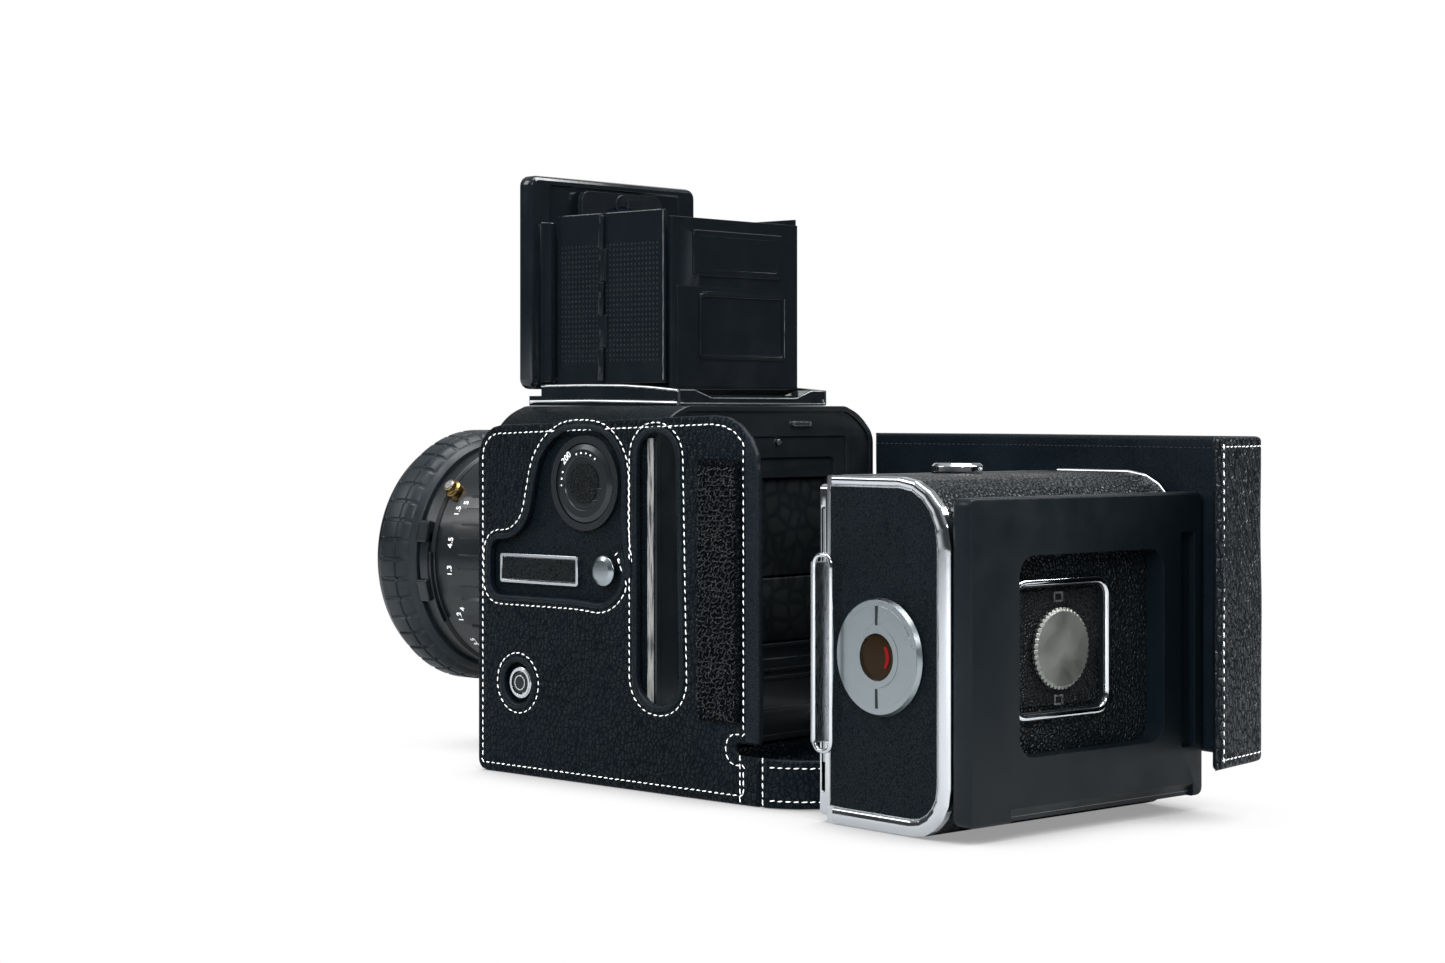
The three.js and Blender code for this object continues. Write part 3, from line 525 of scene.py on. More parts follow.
def profile_of(node, centre, axis, start):
    """The runs (radius, along) of the half section that a turned CAD node shows along start."""
    work = bmesh.new()
    work.from_mesh(frame["nodes"][node].data)
    bmesh.ops.remove_doubles(work, verts=work.verts, dist=2e-6)
    across = axis.cross(start)

    def on_plane(point):
        return abs((point - centre).dot(across)) < 4e-3 and (point - centre).dot(start) > -4e-3

    def flat(point):
        offset = point - centre
        return (round(max(0.0, offset.dot(start)), 3), round(offset.dot(axis), 3))

    runs = set()
    for edge in work.edges:
        a, b = (v.co / MM for v in edge.verts)
        if on_plane(a) and on_plane(b):
            pair = tuple(sorted((flat(a), flat(b))))
            if pair[0] != pair[1] and not (pair[0][0] < 5e-3 and pair[1][0] < 5e-3):
                runs.add(pair)
    work.free()
    # Flat faces lose their inner edges in the CAD mesh, so loose ends are joined at equal heights.
    ends = {}
    for pair in runs:
        for end in pair:
            ends[end] = ends.get(end, 0) + 1
    loose = {}
    for (radius, along), count in ends.items():
        if count % 2 and radius > 5e-3:
            loose.setdefault(round(along, 2), []).append((radius, along))
    for group in loose.values():
        group.sort()
        if len(group) % 2:
            group.insert(0, (0.0, group[0][1]))
        runs.update(zip(group[::2], group[1::2]))
    return sorted(runs)


def spin(node, look, line, start=UP, columns=128, width=0.12, **options):
    """A turned CAD node again with a fine round surface, from its own section."""
    centre, axis = line
    runs = profile_of(node, centre, axis, start)
    shape = turned(runs, centre, axis, start, columns)
    name = node + "_finish"
    return make(
        name, BODY_OF[node], look, shape, SLOT_OF[node], [node], width=width, sharp=24, **options
    )


def tube_faces(rings, sides, closed=False):
    """Faces that join rings of points, each with the same number of sides. Open tubes are capped."""
    faces = []
    for i in range(rings if closed else rings - 1):
        a, b = i * sides, ((i + 1) % rings) * sides
        for k in range(sides):
            n = (k + 1) % sides
            faces.append((a + k, a + n, b + n, b + k))
    if not closed:
        faces += [tuple(range(sides)), tuple(reversed(range((rings - 1) * sides, rings * sides)))]
    return faces


def wire(name, body, look, slot, path, radius, closed=False, turn=None, stands_for=()):
    """A round wire along a path of millimetre points."""
    rotate = turn or Matrix.Identity(3)
    points = [rotate @ Vector(p) for p in path]
    count, sides = len(points), 12
    verts, normal = [], None
    for i, point in enumerate(points):
        if closed:
            along = points[(i + 1) % count] - points[i - 1]
        else:
            along = points[min(i + 1, count - 1)] - points[max(i - 1, 0)]
        along.normalize()
        if normal is None:
            normal = along.orthogonal().normalized()
        normal = (normal - along * normal.dot(along)).normalized()
        side = along.cross(normal)
        for k in range(sides):
            angle = 2 * math.pi * k / sides
            verts.append(point + (normal * math.cos(angle) + side * math.sin(angle)) * radius)
    shape = (verts, tube_faces(count, sides, closed))
    return make(name, body, look, shape, slot, stands_for, sharp=60)


# ------------------------------------------------------------------ outlines of CAD faces


def face_loops(node, direction):
    """Outlines, outer one first, of the outermost flat face of a node that looks in direction."""
    work = clean_copy(node)
    bmesh.ops.triangulate(work, faces=work.faces)
    facing = [f for f in work.faces if f.normal.dot(direction) > 0.999]
    top = max(f.calc_center_median().dot(direction) for f in facing)
    chosen = {f for f in facing if top - f.calc_center_median().dot(direction) < 2e-5}
    border = [e for e in work.edges if sum(f in chosen for f in e.link_faces) == 1]
    following = {}
    for edge in border:
        for vert in edge.verts:
            following.setdefault(vert, []).append(edge)
    loops, used = [], set()
    for edge in border:
        if edge in used:
            continue
        vert, loop = edge.verts[0], []
        while edge and edge not in used:
            used.add(edge)
            loop.append(vert.co / MM)
            vert = edge.other_vert(vert)
            edge = next((e for e in following[vert] if e not in used), None)
        loops.append(loop)
    result = [[p.copy() for p in loop] for loop in loops if len(loop) > 3]
    work.free()

    def spread_of(loop):
        return sum((p - loop[0]).length for p in loop)

    return sorted(result, key=spread_of, reverse=True)


def resampled(points, step, closed=True):
    """Points at even steps along a line."""
    line = points + points[:1] if closed else points
    lengths = [(b - a).length for a, b in zip(line, line[1:])]
    total = sum(lengths)
    count = max(2, round(total / step))
    made, index, passed = [], 0, 0.0
    for k in range(count if closed else count + 1):
        target = total * k / count
        while index < len(lengths) - 1 and passed + lengths[index] < target:
            passed += lengths[index]
            index += 1
        share = (target - passed) / max(lengths[index], 1e-9)
        made.append(line[index].lerp(line[index + 1], min(1.0, max(0.0, share))))
    return made


def inset_loop(loop, normal, distance):
    """A closed outline moved sideways in its plane. A positive distance shrinks it."""
    fine = resampled(loop, 0.5)
    count = len(fine)
    area = sum(((fine[i] - fine[0]).cross(fine[i - 1] - fine[0])).dot(normal) for i in range(count))
    sign = -1 if area > 0 else 1
    moved = []
    for i, point in enumerate(fine):
        along = (fine[(i + 2) % count] - fine[i - 2]).normalized()
        moved.append(point + normal.cross(along) * sign * distance)
    clear = abs(distance) * 0.93
    return [p for p in moved if min((p - q).length for q in fine) >= clear]


# ------------------------------------------------------------------ sewing and soft leather

STITCH = {"pitch": 2.2, "length": 1.5, "radius": 0.17}


def stitch_shape(place, along, normal, length, radius):
    """One stitch: a short thread that dips into the leather at both ends."""
    side = along.cross(normal).normalized()
    rings, sides = 6, 6
    verts = []
    for i in range(rings + 1):
        t = i / rings
        swell = math.sin(math.pi * min(0.97, max(0.03, t))) ** 0.45
        centre = place + along * length * (t - 0.5) + normal * radius * (0.75 * swell - 0.45)
        for k in range(sides):
            angle = 2 * math.pi * k / sides
            verts.append(centre + (side * math.cos(angle) + normal * math.sin(angle)) * radius * swell)
    return verts, tube_faces(rings + 1, sides)


def stitching(name, body, lines, slot, look="thread", size=1.0, keep=None, blend=None):
    """Rows of stitches. Each line is (points, normal or normals, closed)."""
    draw = random.Random(name)
    shapes = []
    for points, normal, closed in lines:
        if len(points) < 4:
            continue
        spots = resampled(points, STITCH["pitch"] * size, closed)
        count = len(spots)
        for i, spot in enumerate(spots):
            after = spots[(i + 1) % count] if closed or i < count - 1 else spot
            before = spots[i - 1] if closed or i > 0 else spot
            along = after - before
            if along.length > 4 * STITCH["pitch"] or along.length < 0.1 or (keep and not keep(spot)):
                continue
            along.normalize()
            out = normal(spot) if callable(normal) else normal
            tilt = along + out.cross(along) * draw.uniform(0.03, 0.16)
            length = STITCH["length"] * size * draw.uniform(0.9, 1.08)
            shapes.append(stitch_shape(spot, tilt.normalized(), out, length, STITCH["radius"] * size))
    obj = make(name, None if blend else body, look, joined(*shapes), slot, sharp=80)
    if blend:
        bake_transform(obj)
    return obj


def ripple(point, size, amount):
    return noise.noise(point / size) * amount


def soft_panel(node, looks, normal, amount, test=None, voxel=0.75, passes=4):
    """A leather panel: the CAD solid with padded, rounded edges and a gently uneven face."""
    work = bmesh.new()
    work.from_mesh(frame["nodes"][node].data)
    bmesh.ops.remove_doubles(work, verts=work.verts, dist=2e-6)
    mesh = bpy.data.meshes.new(node + "_leather")
    work.to_mesh(mesh)
    work.free()
    trial = bpy.data.objects.new(node + "_trial", mesh)
    bpy.context.scene.collection.objects.link(trial)
    remesh = trial.modifiers.new("remesh", "REMESH")
    remesh.mode = "VOXEL"
    remesh.voxel_size = voxel * MM
    smooth = trial.modifiers.new("smooth", "SMOOTH")
    smooth.factor = 0.5
    smooth.iterations = passes
    graph = bpy.context.evaluated_depsgraph_get()
    done = bpy.data.meshes.new_from_object(trial.evaluated_get(graph))
    bpy.data.objects.remove(trial)
    for vertex in done.vertices:
        vertex.co += normal * ripple(vertex.co / MM, 16, amount) * MM
    if test:
        for face in done.polygons:
            face.material_index = int(test(face.center / MM, face.normal))
    done.name = node + "_leather"
    for polygon in done.polygons:
        polygon.use_smooth = True
    return finish_piece(
        node + "_leather", done, BODY_OF[node], looks, SLOT_OF[node], [node], sharp=75
    )


def eased_path(points, radii, step):
    """A smooth plan line through corners that are rounded with the given radii."""
    made = [Vector(points[0])]
    for i in range(1, len(points) - 1):
        here = Vector(points[i])
        before, after = Vector(points[i - 1]) - here, Vector(points[i + 1]) - here
        start = here + before.normalized() * radii[i]
        end = here + after.normalized() * radii[i]
        for k in range(13):
            t = k / 12
            made.append(start * (1 - t) ** 2 + here * 2 * t * (1 - t) + end * t * t)
    made.append(Vector(points[-1]))
    line = [Vector((p.x, p.y, 0)) for p in made]
    return resampled(line, step, closed=False)


def rim(distance, half):
    """How thick a sheet with a round edge is at a distance from that edge, as a share."""
    if distance >= half:
        return 1.0
    return math.sqrt(max(0.0, 1 - (1 - distance / half) ** 2))


ROLL_REACH = 2.6  # how far the smooth rolled edge reaches from the fold of the tab


def hanging_sheet(name, path, low, high, thickness, open_ends, slot, stands_for, roll=None):
    """An upright leather sheet along a plan path, pebbled outside and smooth inside."""
    half = thickness / 2
    rows = [low, low + 0.35, low + 0.8, low + half]
    steps = int((high - low) / 2.0)
    rows += [low + half + (high - low - thickness) * k / steps for k in range(1, steps)]
    rows += [high - half, high - 0.8, high - 0.35, high]
    total = len(path)
    lengths = [0.0]
    for a, b in zip(path, path[1:]):
        lengths.append(lengths[-1] + (b - a).length)
    verts, faces, marks = [], [], []
    for i, point in enumerate(path):
        along = (path[min(i + 1, total - 1)] - path[max(i - 1, 0)]).normalized()
        out = Vector((-along.y, along.x, 0))
        first, last = lengths[i], lengths[-1] - lengths[i]
        end_share = 1.0
        if open_ends[0]:
            end_share = min(end_share, rim(first, half))
        if open_ends[1]:
            end_share = min(end_share, rim(last, half))
        for z in rows:
            level = (z - low) / (high - low)
            share = end_share * min(rim(z - low, half), rim(high - z, half))
            base = Vector((point.x, point.y, z))
            base += out * ripple(base, 28, 0.5) * math.sin(math.pi * level)
            verts += [base + out * half * share, base - out * half * share]
    height = len(rows)
    for i in range(total - 1):
        for j in range(height - 1):
            a, b = 2 * (i * height + j), 2 * ((i + 1) * height + j)
            faces.append((a, b, b + 2, a + 2))
            faces.append((a + 1, a + 3, b + 3, b + 1))
            rolled = roll and (path[i] - roll).length < ROLL_REACH
            marks += [1 if rolled else 0, 1]
    for i, is_open in ((0, open_ends[0]), (total - 1, open_ends[1])):
        if not is_open:
            for j in range(height - 1):
                a = 2 * (i * height + j)
                faces.append((a, a + 1, a + 3, a + 2))
                marks.append(1)
    mesh = mesh_of(name, verts, faces, marks=marks)
    obj = finish_piece(name, mesh, None, ["flap_leather", "smooth_leather"], slot, stands_for, sharp=75)
    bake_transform(obj)
    return obj


def sheet_row(path, z, offset, skip_start=0.0, skip_end=0.0):
    """Points at one height on one face of a hanging sheet, with the outward direction there."""
    rows = []
    for i, point in enumerate(path):
        along = (path[min(i + 1, len(path) - 1)] - path[max(i - 1, 0)]).normalized()
        out = Vector((-along.y, along.x, 0))
        rows.append((Vector((point.x, point.y, z)) + out * offset, out))
    drop_start = int(skip_start / max(0.01, (path[1] - path[0]).length))
    drop_end = int(skip_end / max(0.01, (path[1] - path[0]).length))
    return rows[drop_start : len(rows) - drop_end]


# ------------------------------------------------------------------ lettering


def lettering(name, body, marks, slot, height=0.05):
    """Raised paint marks. Each one is (text, size, centre, right direction, up direction)."""
    shapes = []
    for text, size, centre, right, up in marks:
        curve = bpy.data.curves.new(name, "FONT")
        curve.body = text
        curve.size = size
        curve.align_x = "CENTER"
        curve.align_y = "CENTER"
        curve.extrude = height / 2
        curve.resolution_u = 3
        holder = bpy.data.objects.new(name + "_text", curve)
        bpy.context.scene.collection.objects.link(holder)
        graph = bpy.context.evaluated_depsgraph_get()
        mesh = bpy.data.meshes.new_from_object(holder.evaluated_get(graph))
        out = right.cross(up)
        verts = [centre + right * v.co.x + up * v.co.y + out * v.co.z for v in mesh.vertices]
        shapes.append((verts, [tuple(p.vertices) for p in mesh.polygons]))
        bpy.data.objects.remove(holder)
    return make(name, body, "ink", joined(*shapes), slot, sharp=40)


# ------------------------------------------------------------------ camera body

SHOULDER_DROP = 9.0  # from the top of the body shell down to where its sides start to lean in


def dress_body():
    low, high = corners("body_shell")

    def painted(centre, normal):
        outer = abs(centre.x) > high.x - 1 or centre.z > high.z - SHOULDER_DROP
        return not outer or abs(normal.y) > 0.7 or centre.z < low.z + 0.5

    refine("body_shell", "leatherette", 0.35, second=("satin", painted))
    refine("front_plate", "leatherette", 0.3)
    refine("rear_frame", "satin", 0.12)
    refine("tripod_foot", "steel", 0.3)
    refine("focusing_screen", "ground_glass", 0.2)
    refine("mirror", "mirror", 0.15)
    refine("upper_rear_door", "door", 0.2)
    refine("lower_rear_door", "door", 0.2)
    refine("drive_gear", "brass", 0.12)
    refine("nameplate_frame", "chrome", 0.18)
    refine("dial_bezel", "satin", 0.25)
    lens_line = joint_line("lens_bayonet_turn")
    spin("lens_mount_ring", "chrome", lens_line)
    spin("mirror_pin", "steel", joint_line("mirror_lift"), columns=32)
    spin("case_screw", "steel", joint_line("case_screw_turn"), start=-BACK, columns=64)
    spin("release_button", "chrome", (middle("release_button"), BACK), columns=64)
    for node in ("strap_lug_left", "strap_lug_right", "flash_socket"):
        look = "chrome" if node == "flash_socket" else "key_steel"
        spin(node, look, (middle(node), SIDEWAYS), columns=72, width=0.3)
    add_edge_trim(low, high)
    add_rear_details(low, high)
    add_nameplate()
    add_socket_rings()
    dress_dial()


def add_edge_trim(low, high):
    """The rubbed strip beside the rear vertical edge, seen through the slot of the case."""
    strip = box((high.x - 0.1, high.y - 2.9, low.z + 2.5),
                (high.x + 0.03, high.y - 0.5, high.z - SHOULDER_DROP))
    make("edge_trim_left", "camera", "worn", strip, "bright_chrome", width=0.06)


def add_rear_details(low, high):
    """Ledges, a screw and the catch slit on the rear face of the body. A flat black plate in the slit paints the
    shade inside it.
    """
    rear = high.y
    shapes = []
    for rise, half_width, half_height in ((27.4, 27.2, 0.45), (20.2, 29.0, 0.4), (8.0, 31.0, 0.45)):
        z = low.z + rise
        shapes.append(box((-half_width, rear - 0.45, z - half_height),
                          (half_width, rear + 0.25, z + half_height)))
    make("rear_ledges", "camera", "satin", joined(*shapes), "leatherette", width=0.15)
    screw = turned(ring_runs(0, 0.9, 0, 0.5), Vector((-4.7, rear - 0.3, high.z - 10.5)), BACK, UP, 32)
    make("rear_screw", "camera", "steel", screw, "satin_steel", width=0.1)
    top = high.z - 4.5
    slit = prism([rectangle(-18.4, top - 1.4, -10, top, 0.6)], rear + 0.1, rear + 0.8, "y")
    make("catch_slit_rim", "camera", "steel", slit, "satin_steel", width=0.12)
    # painted shade: a flat black plate inside the slit rim
    hole = prism([rectangle(-17.4, top - 1.05, -11, top - 0.35, 0.3)], rear + 0.75, rear + 0.9, "y")
    make("catch_slit_painted_shade", "camera", "flat", hole, "black_enamel")


def add_nameplate():
    low, high = corners("nameplate_frame")
    edge = 1.15
    plaque = prism(
        [rectangle(low.y + edge, low.z + edge, high.y - edge, high.z - edge, 0.5)],
        high.x - 0.6, high.x - 0.25, "x",
    )
    make("nameplate_plaque", "camera", "plaque", plaque, "leatherette", width=0.12)


def add_socket_rings():
    low, high = corners("flash_socket")
    centre = Vector((0, *middle("flash_socket").yz))
    radius = (high.y - low.y) / 2
    # a flat black disc over the middle of the socket paints the shade inside its hole
    hole = turned(ring_runs(0, radius * 0.66, high.x - 0.4, high.x + 0.04), centre, SIDEWAYS, UP, 64)
    make("socket_hole_painted_shade", "camera", "flat", hole, "black_enamel")
    shapes = []
    for share, width in ((0.4, 0.07), (0.74, 0.16)):
        runs = ring_runs(radius * share, radius * (share + width), high.x - 0.3, high.x + 0.22)
        shapes.append(turned(runs, centre, SIDEWAYS, UP, 64))
    make("socket_rings", "camera", "chrome", joined(*shapes), "bright_chrome", width=0.06)


def dress_dial():
    line = joint_line("film_speed_dial_turn")
    spin("film_speed_dial", "satin", line, columns=120, width=0.18)
    low, high = corners("film_speed_dial")
    centre = middle("film_speed_dial")
    radius = (high.y - low.y) / 2
    face = high.x - 0.66
    hub = Vector((0, centre.y, centre.z))
    disc = turned(ring_runs(0, radius * 0.52, face - 0.2, face + 0.42), hub, SIDEWAYS, UP, 96)
    make("film_speed_disc", "film_speed_dial", "plaque", disc, "black_enamel", width=0.15)
    ring = turned(ring_runs(radius * 0.6, radius * 0.66, face - 0.2, face + 0.3), hub, SIDEWAYS, UP, 96)
    make("film_speed_ring", "film_speed_dial", "satin", ring, "black_enamel", width=0.1)
    latch = joined(
        box((face - 0.2, centre.y + radius * 0.5, centre.z - 3.4),
            (face + 0.5, centre.y + radius * 0.74, centre.z - 1.2)),
        box((face - 0.2, centre.y + radius * 0.3, centre.z - 5.6),
            (face + 0.4, centre.y + radius * 0.62, centre.z - 4.6)),
    )
    make("film_speed_latch", "film_speed_dial", "enamel", latch, "black_enamel", width=0.15)
    marks = []
    for k in range(11):
        angle = math.radians(-95 + 13 * k)
        out = Vector((0, math.sin(angle), math.cos(angle)))
        spot = centre + out * (radius - 1.5)
        hit = surface_at("film_speed_dial", Vector((high.x + 5, spot.y, spot.z)), -SIDEWAYS)
        right = Vector((0, math.cos(angle), -math.sin(angle)))
        if k == 4:
            marks.append(("200", 2.7, hit + SIDEWAYS * 0.03, right, out))
        elif k not in (3, 5):
            marks.append((".", 4.4, hit + SIDEWAYS * 0.03, right, out))
    lettering("film_speed_marks", "film_speed_dial", marks, "black_enamel", 0.1)


# ------------------------------------------------------------------ lens

RING = {"ribs": 40, "flutes": 24, "steps": 8}
TAB_ANGLES = (1.33, 1.83, -1.6)


def grooves(count, depth, width, reach):
    """Narrow straight grooves between flat ribs, on the parts of a ring whose radius is in reach."""

    def sink(angle, radius, along):
        low, high = reach
        if not low <= radius <= high:
            return 0.0
        place = (angle * count / (2 * math.pi)) % 1
        near = min(place, 1 - place) * 2
        return depth if near < width else 0.0

    return sink


def dress_lens():
    line = joint_line("lens_bayonet_turn")
    centre, axis = line
    for node, look in (("lens_barrel", "satin"), ("lens_front_rim", "satin")):
        spin(node, look, line, columns=160, width=0.2)
    for node in ("front_element", "rear_element"):
        spin(node, "lens", line, columns=128, width=0.0)
    dress_shutter_ring(centre, axis)
    dress_focus_ring(centre, axis)
    dress_aperture_ring(centre, axis)
    dress_terminal(centre, axis)


def along_lens(y, centre):
    return centre.y - y


def ring_inner(node, centre):
    """Bore radius of a ring node, from its own points."""
    return min(math.hypot(p.x - centre.x, p.z - centre.z) for p in points_of(node))


def dress_shutter_ring(centre, axis):
    low, high = corners("shutter_ring")
    outer = (high.x - low.x) / 2
    inner = ring_inner("shutter_ring", centre)
    rear, front = along_lens(high.y, centre), along_lens(low.y, centre)
    profile = [
        (inner, rear), (outer - 4.0, rear), (outer - 2.6, rear + 1.2), (outer - 2.3, rear + 2.2),
        (outer - 1.2, rear + 3.0), (outer - 0.5, rear + 4.4), (outer - 0.35, rear + 5.6),
        (outer - 0.9, rear + 5.9), (outer - 0.1, rear + 6.3), (outer, rear + 7.2),
        (outer, front - 1.4), (outer - 0.5, front - 0.4), (outer - 1.2, front), (inner, front),
    ]
    sink = grooves(RING["ribs"], 0.55, 0.13, (outer - 1.25, outer + 1))
    columns = RING["ribs"] * RING["steps"] * 2
    shape = turned(closed_runs(profile), centre, axis, UP, columns, sink)
    make("shutter_ring_finish", "shutter_ring", "rubber", shape, "black_enamel", ["shutter_ring"],
         sharp=35)


def dress_focus_ring(centre, axis):
    low, high = corners("focus_ring")
    outer = (high.x - low.x) / 2
    inner = ring_inner("focus_ring", centre)
    rear, front = along_lens(high.y, centre), along_lens(low.y, centre)
    band = front - 6.2
    profile = [
        (inner, rear), (outer - 0.7, rear), (outer, rear + 0.7), (outer, band - 0.6),
        (outer - 0.6, band), (outer - 0.6, front - 0.9), (outer - 1.5, front), (inner, front),
    ]
    sink = grooves(RING["flutes"], 0.8, 0.42, (outer - 0.1, outer + 1))
    columns = RING["flutes"] * RING["steps"] * 2
    shape = turned(closed_runs(profile), centre, axis, UP, columns, sink)
    make("focus_ring_finish", "focus_ring", "satin", shape, "ring_rubber", ["focus_ring"], sharp=35)
    radius = outer - 0.6 + 0.04
    y = (centre.y - (band + front) / 2) + 0.3
    numbers = [("5", -0.52), ("1.5", -0.44), ("4.5", -0.16), ("1.3", 0.08), ("4", 0.42), ("1.2", 0.5),
               ("3.5", 0.78), ("1", 1.02), ("3", -0.85), ("2", -1.15)]
    marks = []
    for text, turn in numbers:
        angle = math.pi / 2 + turn
        out = Vector((math.sin(angle), 0, math.cos(angle)))
        right = Vector((-math.cos(angle), 0, math.sin(angle)))
        outer_row = text in ("5", "4", "3", "2")
        spot = centre + out * radius
        spot.y = y + (1.6 if outer_row else -0.9)
        marks.append((text, 2.8, spot, right, -BACK))
    lettering("focus_numbers", "focus_ring", marks, "ring_rubber", 0.12)


def tab(centre, angle, width, inner, outer, y0, y1):
    """A block that stands out of the lens at an angle from the top."""
    verts, faces = box((-width / 2, y0, inner), (width / 2, y1, outer))
    turn = Matrix.Rotation(angle, 3, "Y")
    base = Vector((centre.x, 0, centre.z))
    return [base + turn @ Vector(v) for v in verts], faces


def arc_block(centre, start, end, inner, outer, y0, y1):
    """A curved block round the lens between two angles from the top."""
    loop = sector(centre.x, centre.z, inner, outer, math.pi / 2 - start, math.pi / 2 - end)
    return prism([loop], y0, y1, "y")


def dress_aperture_ring(centre, axis):
    low, high = corners("aperture_ring")
    runs = profile_of("aperture_ring", centre, axis, UP)
    ring_shape = turned(runs, centre, axis, UP, 160)
    radius = max(point[0] for run in runs for point in run)
    make("aperture_ring_finish", "aperture_ring", "satin", ring_shape, "black_enamel",
         ["aperture_ring"], width=0.15, sharp=24)
    y0, y1 = low.y + 0.8, high.y - 0.9
    reach = radius + 2.7
    shapes = [tab(centre, angle, 7, radius - 1, reach, y0, y1) for angle in TAB_ANGLES]
    make("aperture_tabs", "aperture_ring", "satin", joined(*shapes), "black_enamel", width=0.7,
         segments=3)
    bridge = arc_block(centre, TAB_ANGLES[0], TAB_ANGLES[1], radius - 0.5, radius + 1.5, y0 + 0.8, y1)
    crescent = arc_block(centre, 1.5, 2.15, radius - 0.5, radius + 1.0, y1 - 0.9, high.y)
    make("aperture_bridge", "aperture_ring", "satin", bridge, "black_enamel", width=0.35)
    make("aperture_crescent", "aperture_ring", "satin", crescent, "black_enamel", width=0.3)


def dress_terminal(centre, axis):
    middle_point = middle("sync_terminal")
    rough = Vector((middle_point.x - centre.x, 0, middle_point.z - centre.z)).normalized()
    out = end_normal("sync_terminal", rough)
    base = Vector((centre.x, middle_point.y, centre.z))
    runs = profile_of("sync_terminal", base, out, BACK)
    shape = turned(runs, base, out, BACK, 64)
    make("sync_terminal_finish", "lens", "brass", shape, "brass", ["sync_terminal"], width=0.12,
         sharp=24)
    top = max(point[1] for run in runs for point in run)
    cap = closed_runs([(0, top - 1.6), (1.75, top - 1.6), (1.75, top), (1.3, top + 0.3), (0, top + 0.3)])
    make("sync_terminal_cap", "lens", "steel", turned(cap, base, out, BACK, 48), "satin_steel",
         width=0.1)


# ------------------------------------------------------------------ crank


def dress_crank():
    line = joint_line("winding_crank_turn")
    spin("crank_hub", "chrome", line, columns=120, width=0.25)
    refine("crank_handle", "enamel", 0.35)


# ------------------------------------------------------------------ leather half case

EDGE = {"stitch": 2.5, "hole": 2.6, "rolled": 5.2}


def dress_case():
    low, high = corners("case_left_panel")

    def rolled(centre, normal):
        """The smooth rolled border along the rear edge and inside the openings."""
        near_rear = centre.y > high.y - EDGE["rolled"] + 0.6 and centre.z > low.z + 17
        return near_rear or abs(normal.x) < 0.75

    soft_panel("case_left_panel", ["leather", "smooth_leather"], SIDEWAYS, 0.18, rolled)
    soft_panel("case_right_panel", ["leather", "smooth_leather"], SIDEWAYS, 0.18,
               lambda centre, normal: abs(normal.x) < 0.75, voxel=0.9)
    soft_panel("case_base", ["leather"], UP, 0.0, voxel=1.1, passes=2)
    soft_panel("case_strap", ["leather", "smooth_leather"], UP, 0.1,
               lambda centre, normal: abs(normal.z) > 0.7, voxel=0.6)
    sew_panel("case_left_panel", SIDEWAYS, "left_panel_stitching")
    sew_panel("case_right_panel", -SIDEWAYS, "right_panel_stitching")
    sew_strap()
    add_opening_rims()
    add_loop_tape()


def sew_panel(node, normal, name):
    """A row of stitches inside the outline of a panel and round each of its openings."""
    outer, *holes = face_loops(node, normal)
    border = inset_loop(outer, normal, EDGE["stitch"])
    if node == "case_left_panel":
        limit = corners(node)[1].y - EDGE["rolled"]
        border = [Vector((p.x, min(p.y, limit), p.z)) for p in border]
    lines = [(border, normal, True)]
    lines += [(inset_loop(hole, normal, -EDGE["hole"]), normal, True) for hole in holes]
    stitching(name, "camera", lines, "loop_tape")


def add_opening_rims():
    """Folded leather that rims the openings of the left panel."""
    _, *holes = face_loops("case_left_panel", SIDEWAYS)
    for index, hole in enumerate(holes):
        path = [p - SIDEWAYS * 0.35 for p in inset_loop(hole, SIDEWAYS, -0.75)]
        wire(f"opening_rim_{index}", "camera", "smooth_leather", "case_leather",
             resampled(path, 1.0), 0.95, closed=True)


def sew_strap():
    """Two stitched rows on the strap, and the upright rows where it joins the panel."""
    outline = face_loops("case_strap", UP)[0]
    fine = resampled(outline, 0.5)
    low, high = corners("case_strap")
    panel_low, panel_high = corners("case_left_panel")
    count = len(fine)
    normals = []
    area = sum((fine[i].cross(fine[i - 1])).z for i in range(count))
    sign = 1 if area < 0 else -1
    for i in range(count):
        along = (fine[(i + 3) % count] - fine[i - 3]).normalized()
        normals.append(Vector((along.y, -along.x, 0)) * sign)

    def outward(point):
        return normals[min(range(count), key=lambda i: (fine[i].xy - point.xy).length)]

    lines = []
    for z in (low.z + 2.1, high.z - 2.1):
        row = [Vector((p.x, p.y, z)) for p in fine]
        lines.append((row, outward, True))
    stitching("strap_stitching", "camera", lines, "loop_tape",
              keep=lambda p: p.y > panel_high.y + 3.5 or p.x < low.x + 9.4)
    z0, z1 = panel_low.z + 1.5, panel_low.z + 12.5
    heights = [z0 + (z1 - z0) * k / 12 for k in range(13)]
    on_panel = [Vector((panel_high.x + 0.02, panel_high.y - 6.4, z)) for z in heights]
    behind = panel_high.y + 1.6
    turn = min((p for p in fine if p.x > high.x / 2), key=lambda p: abs(p.y - behind) - p.x * 0.2)
    on_strap = [Vector((turn.x, turn.y, z)) for z in heights]
    lines = [(on_panel, SIDEWAYS, False), (on_strap, outward(turn), False)]
    stitching("strap_end_stitching", "camera", lines, "loop_tape")


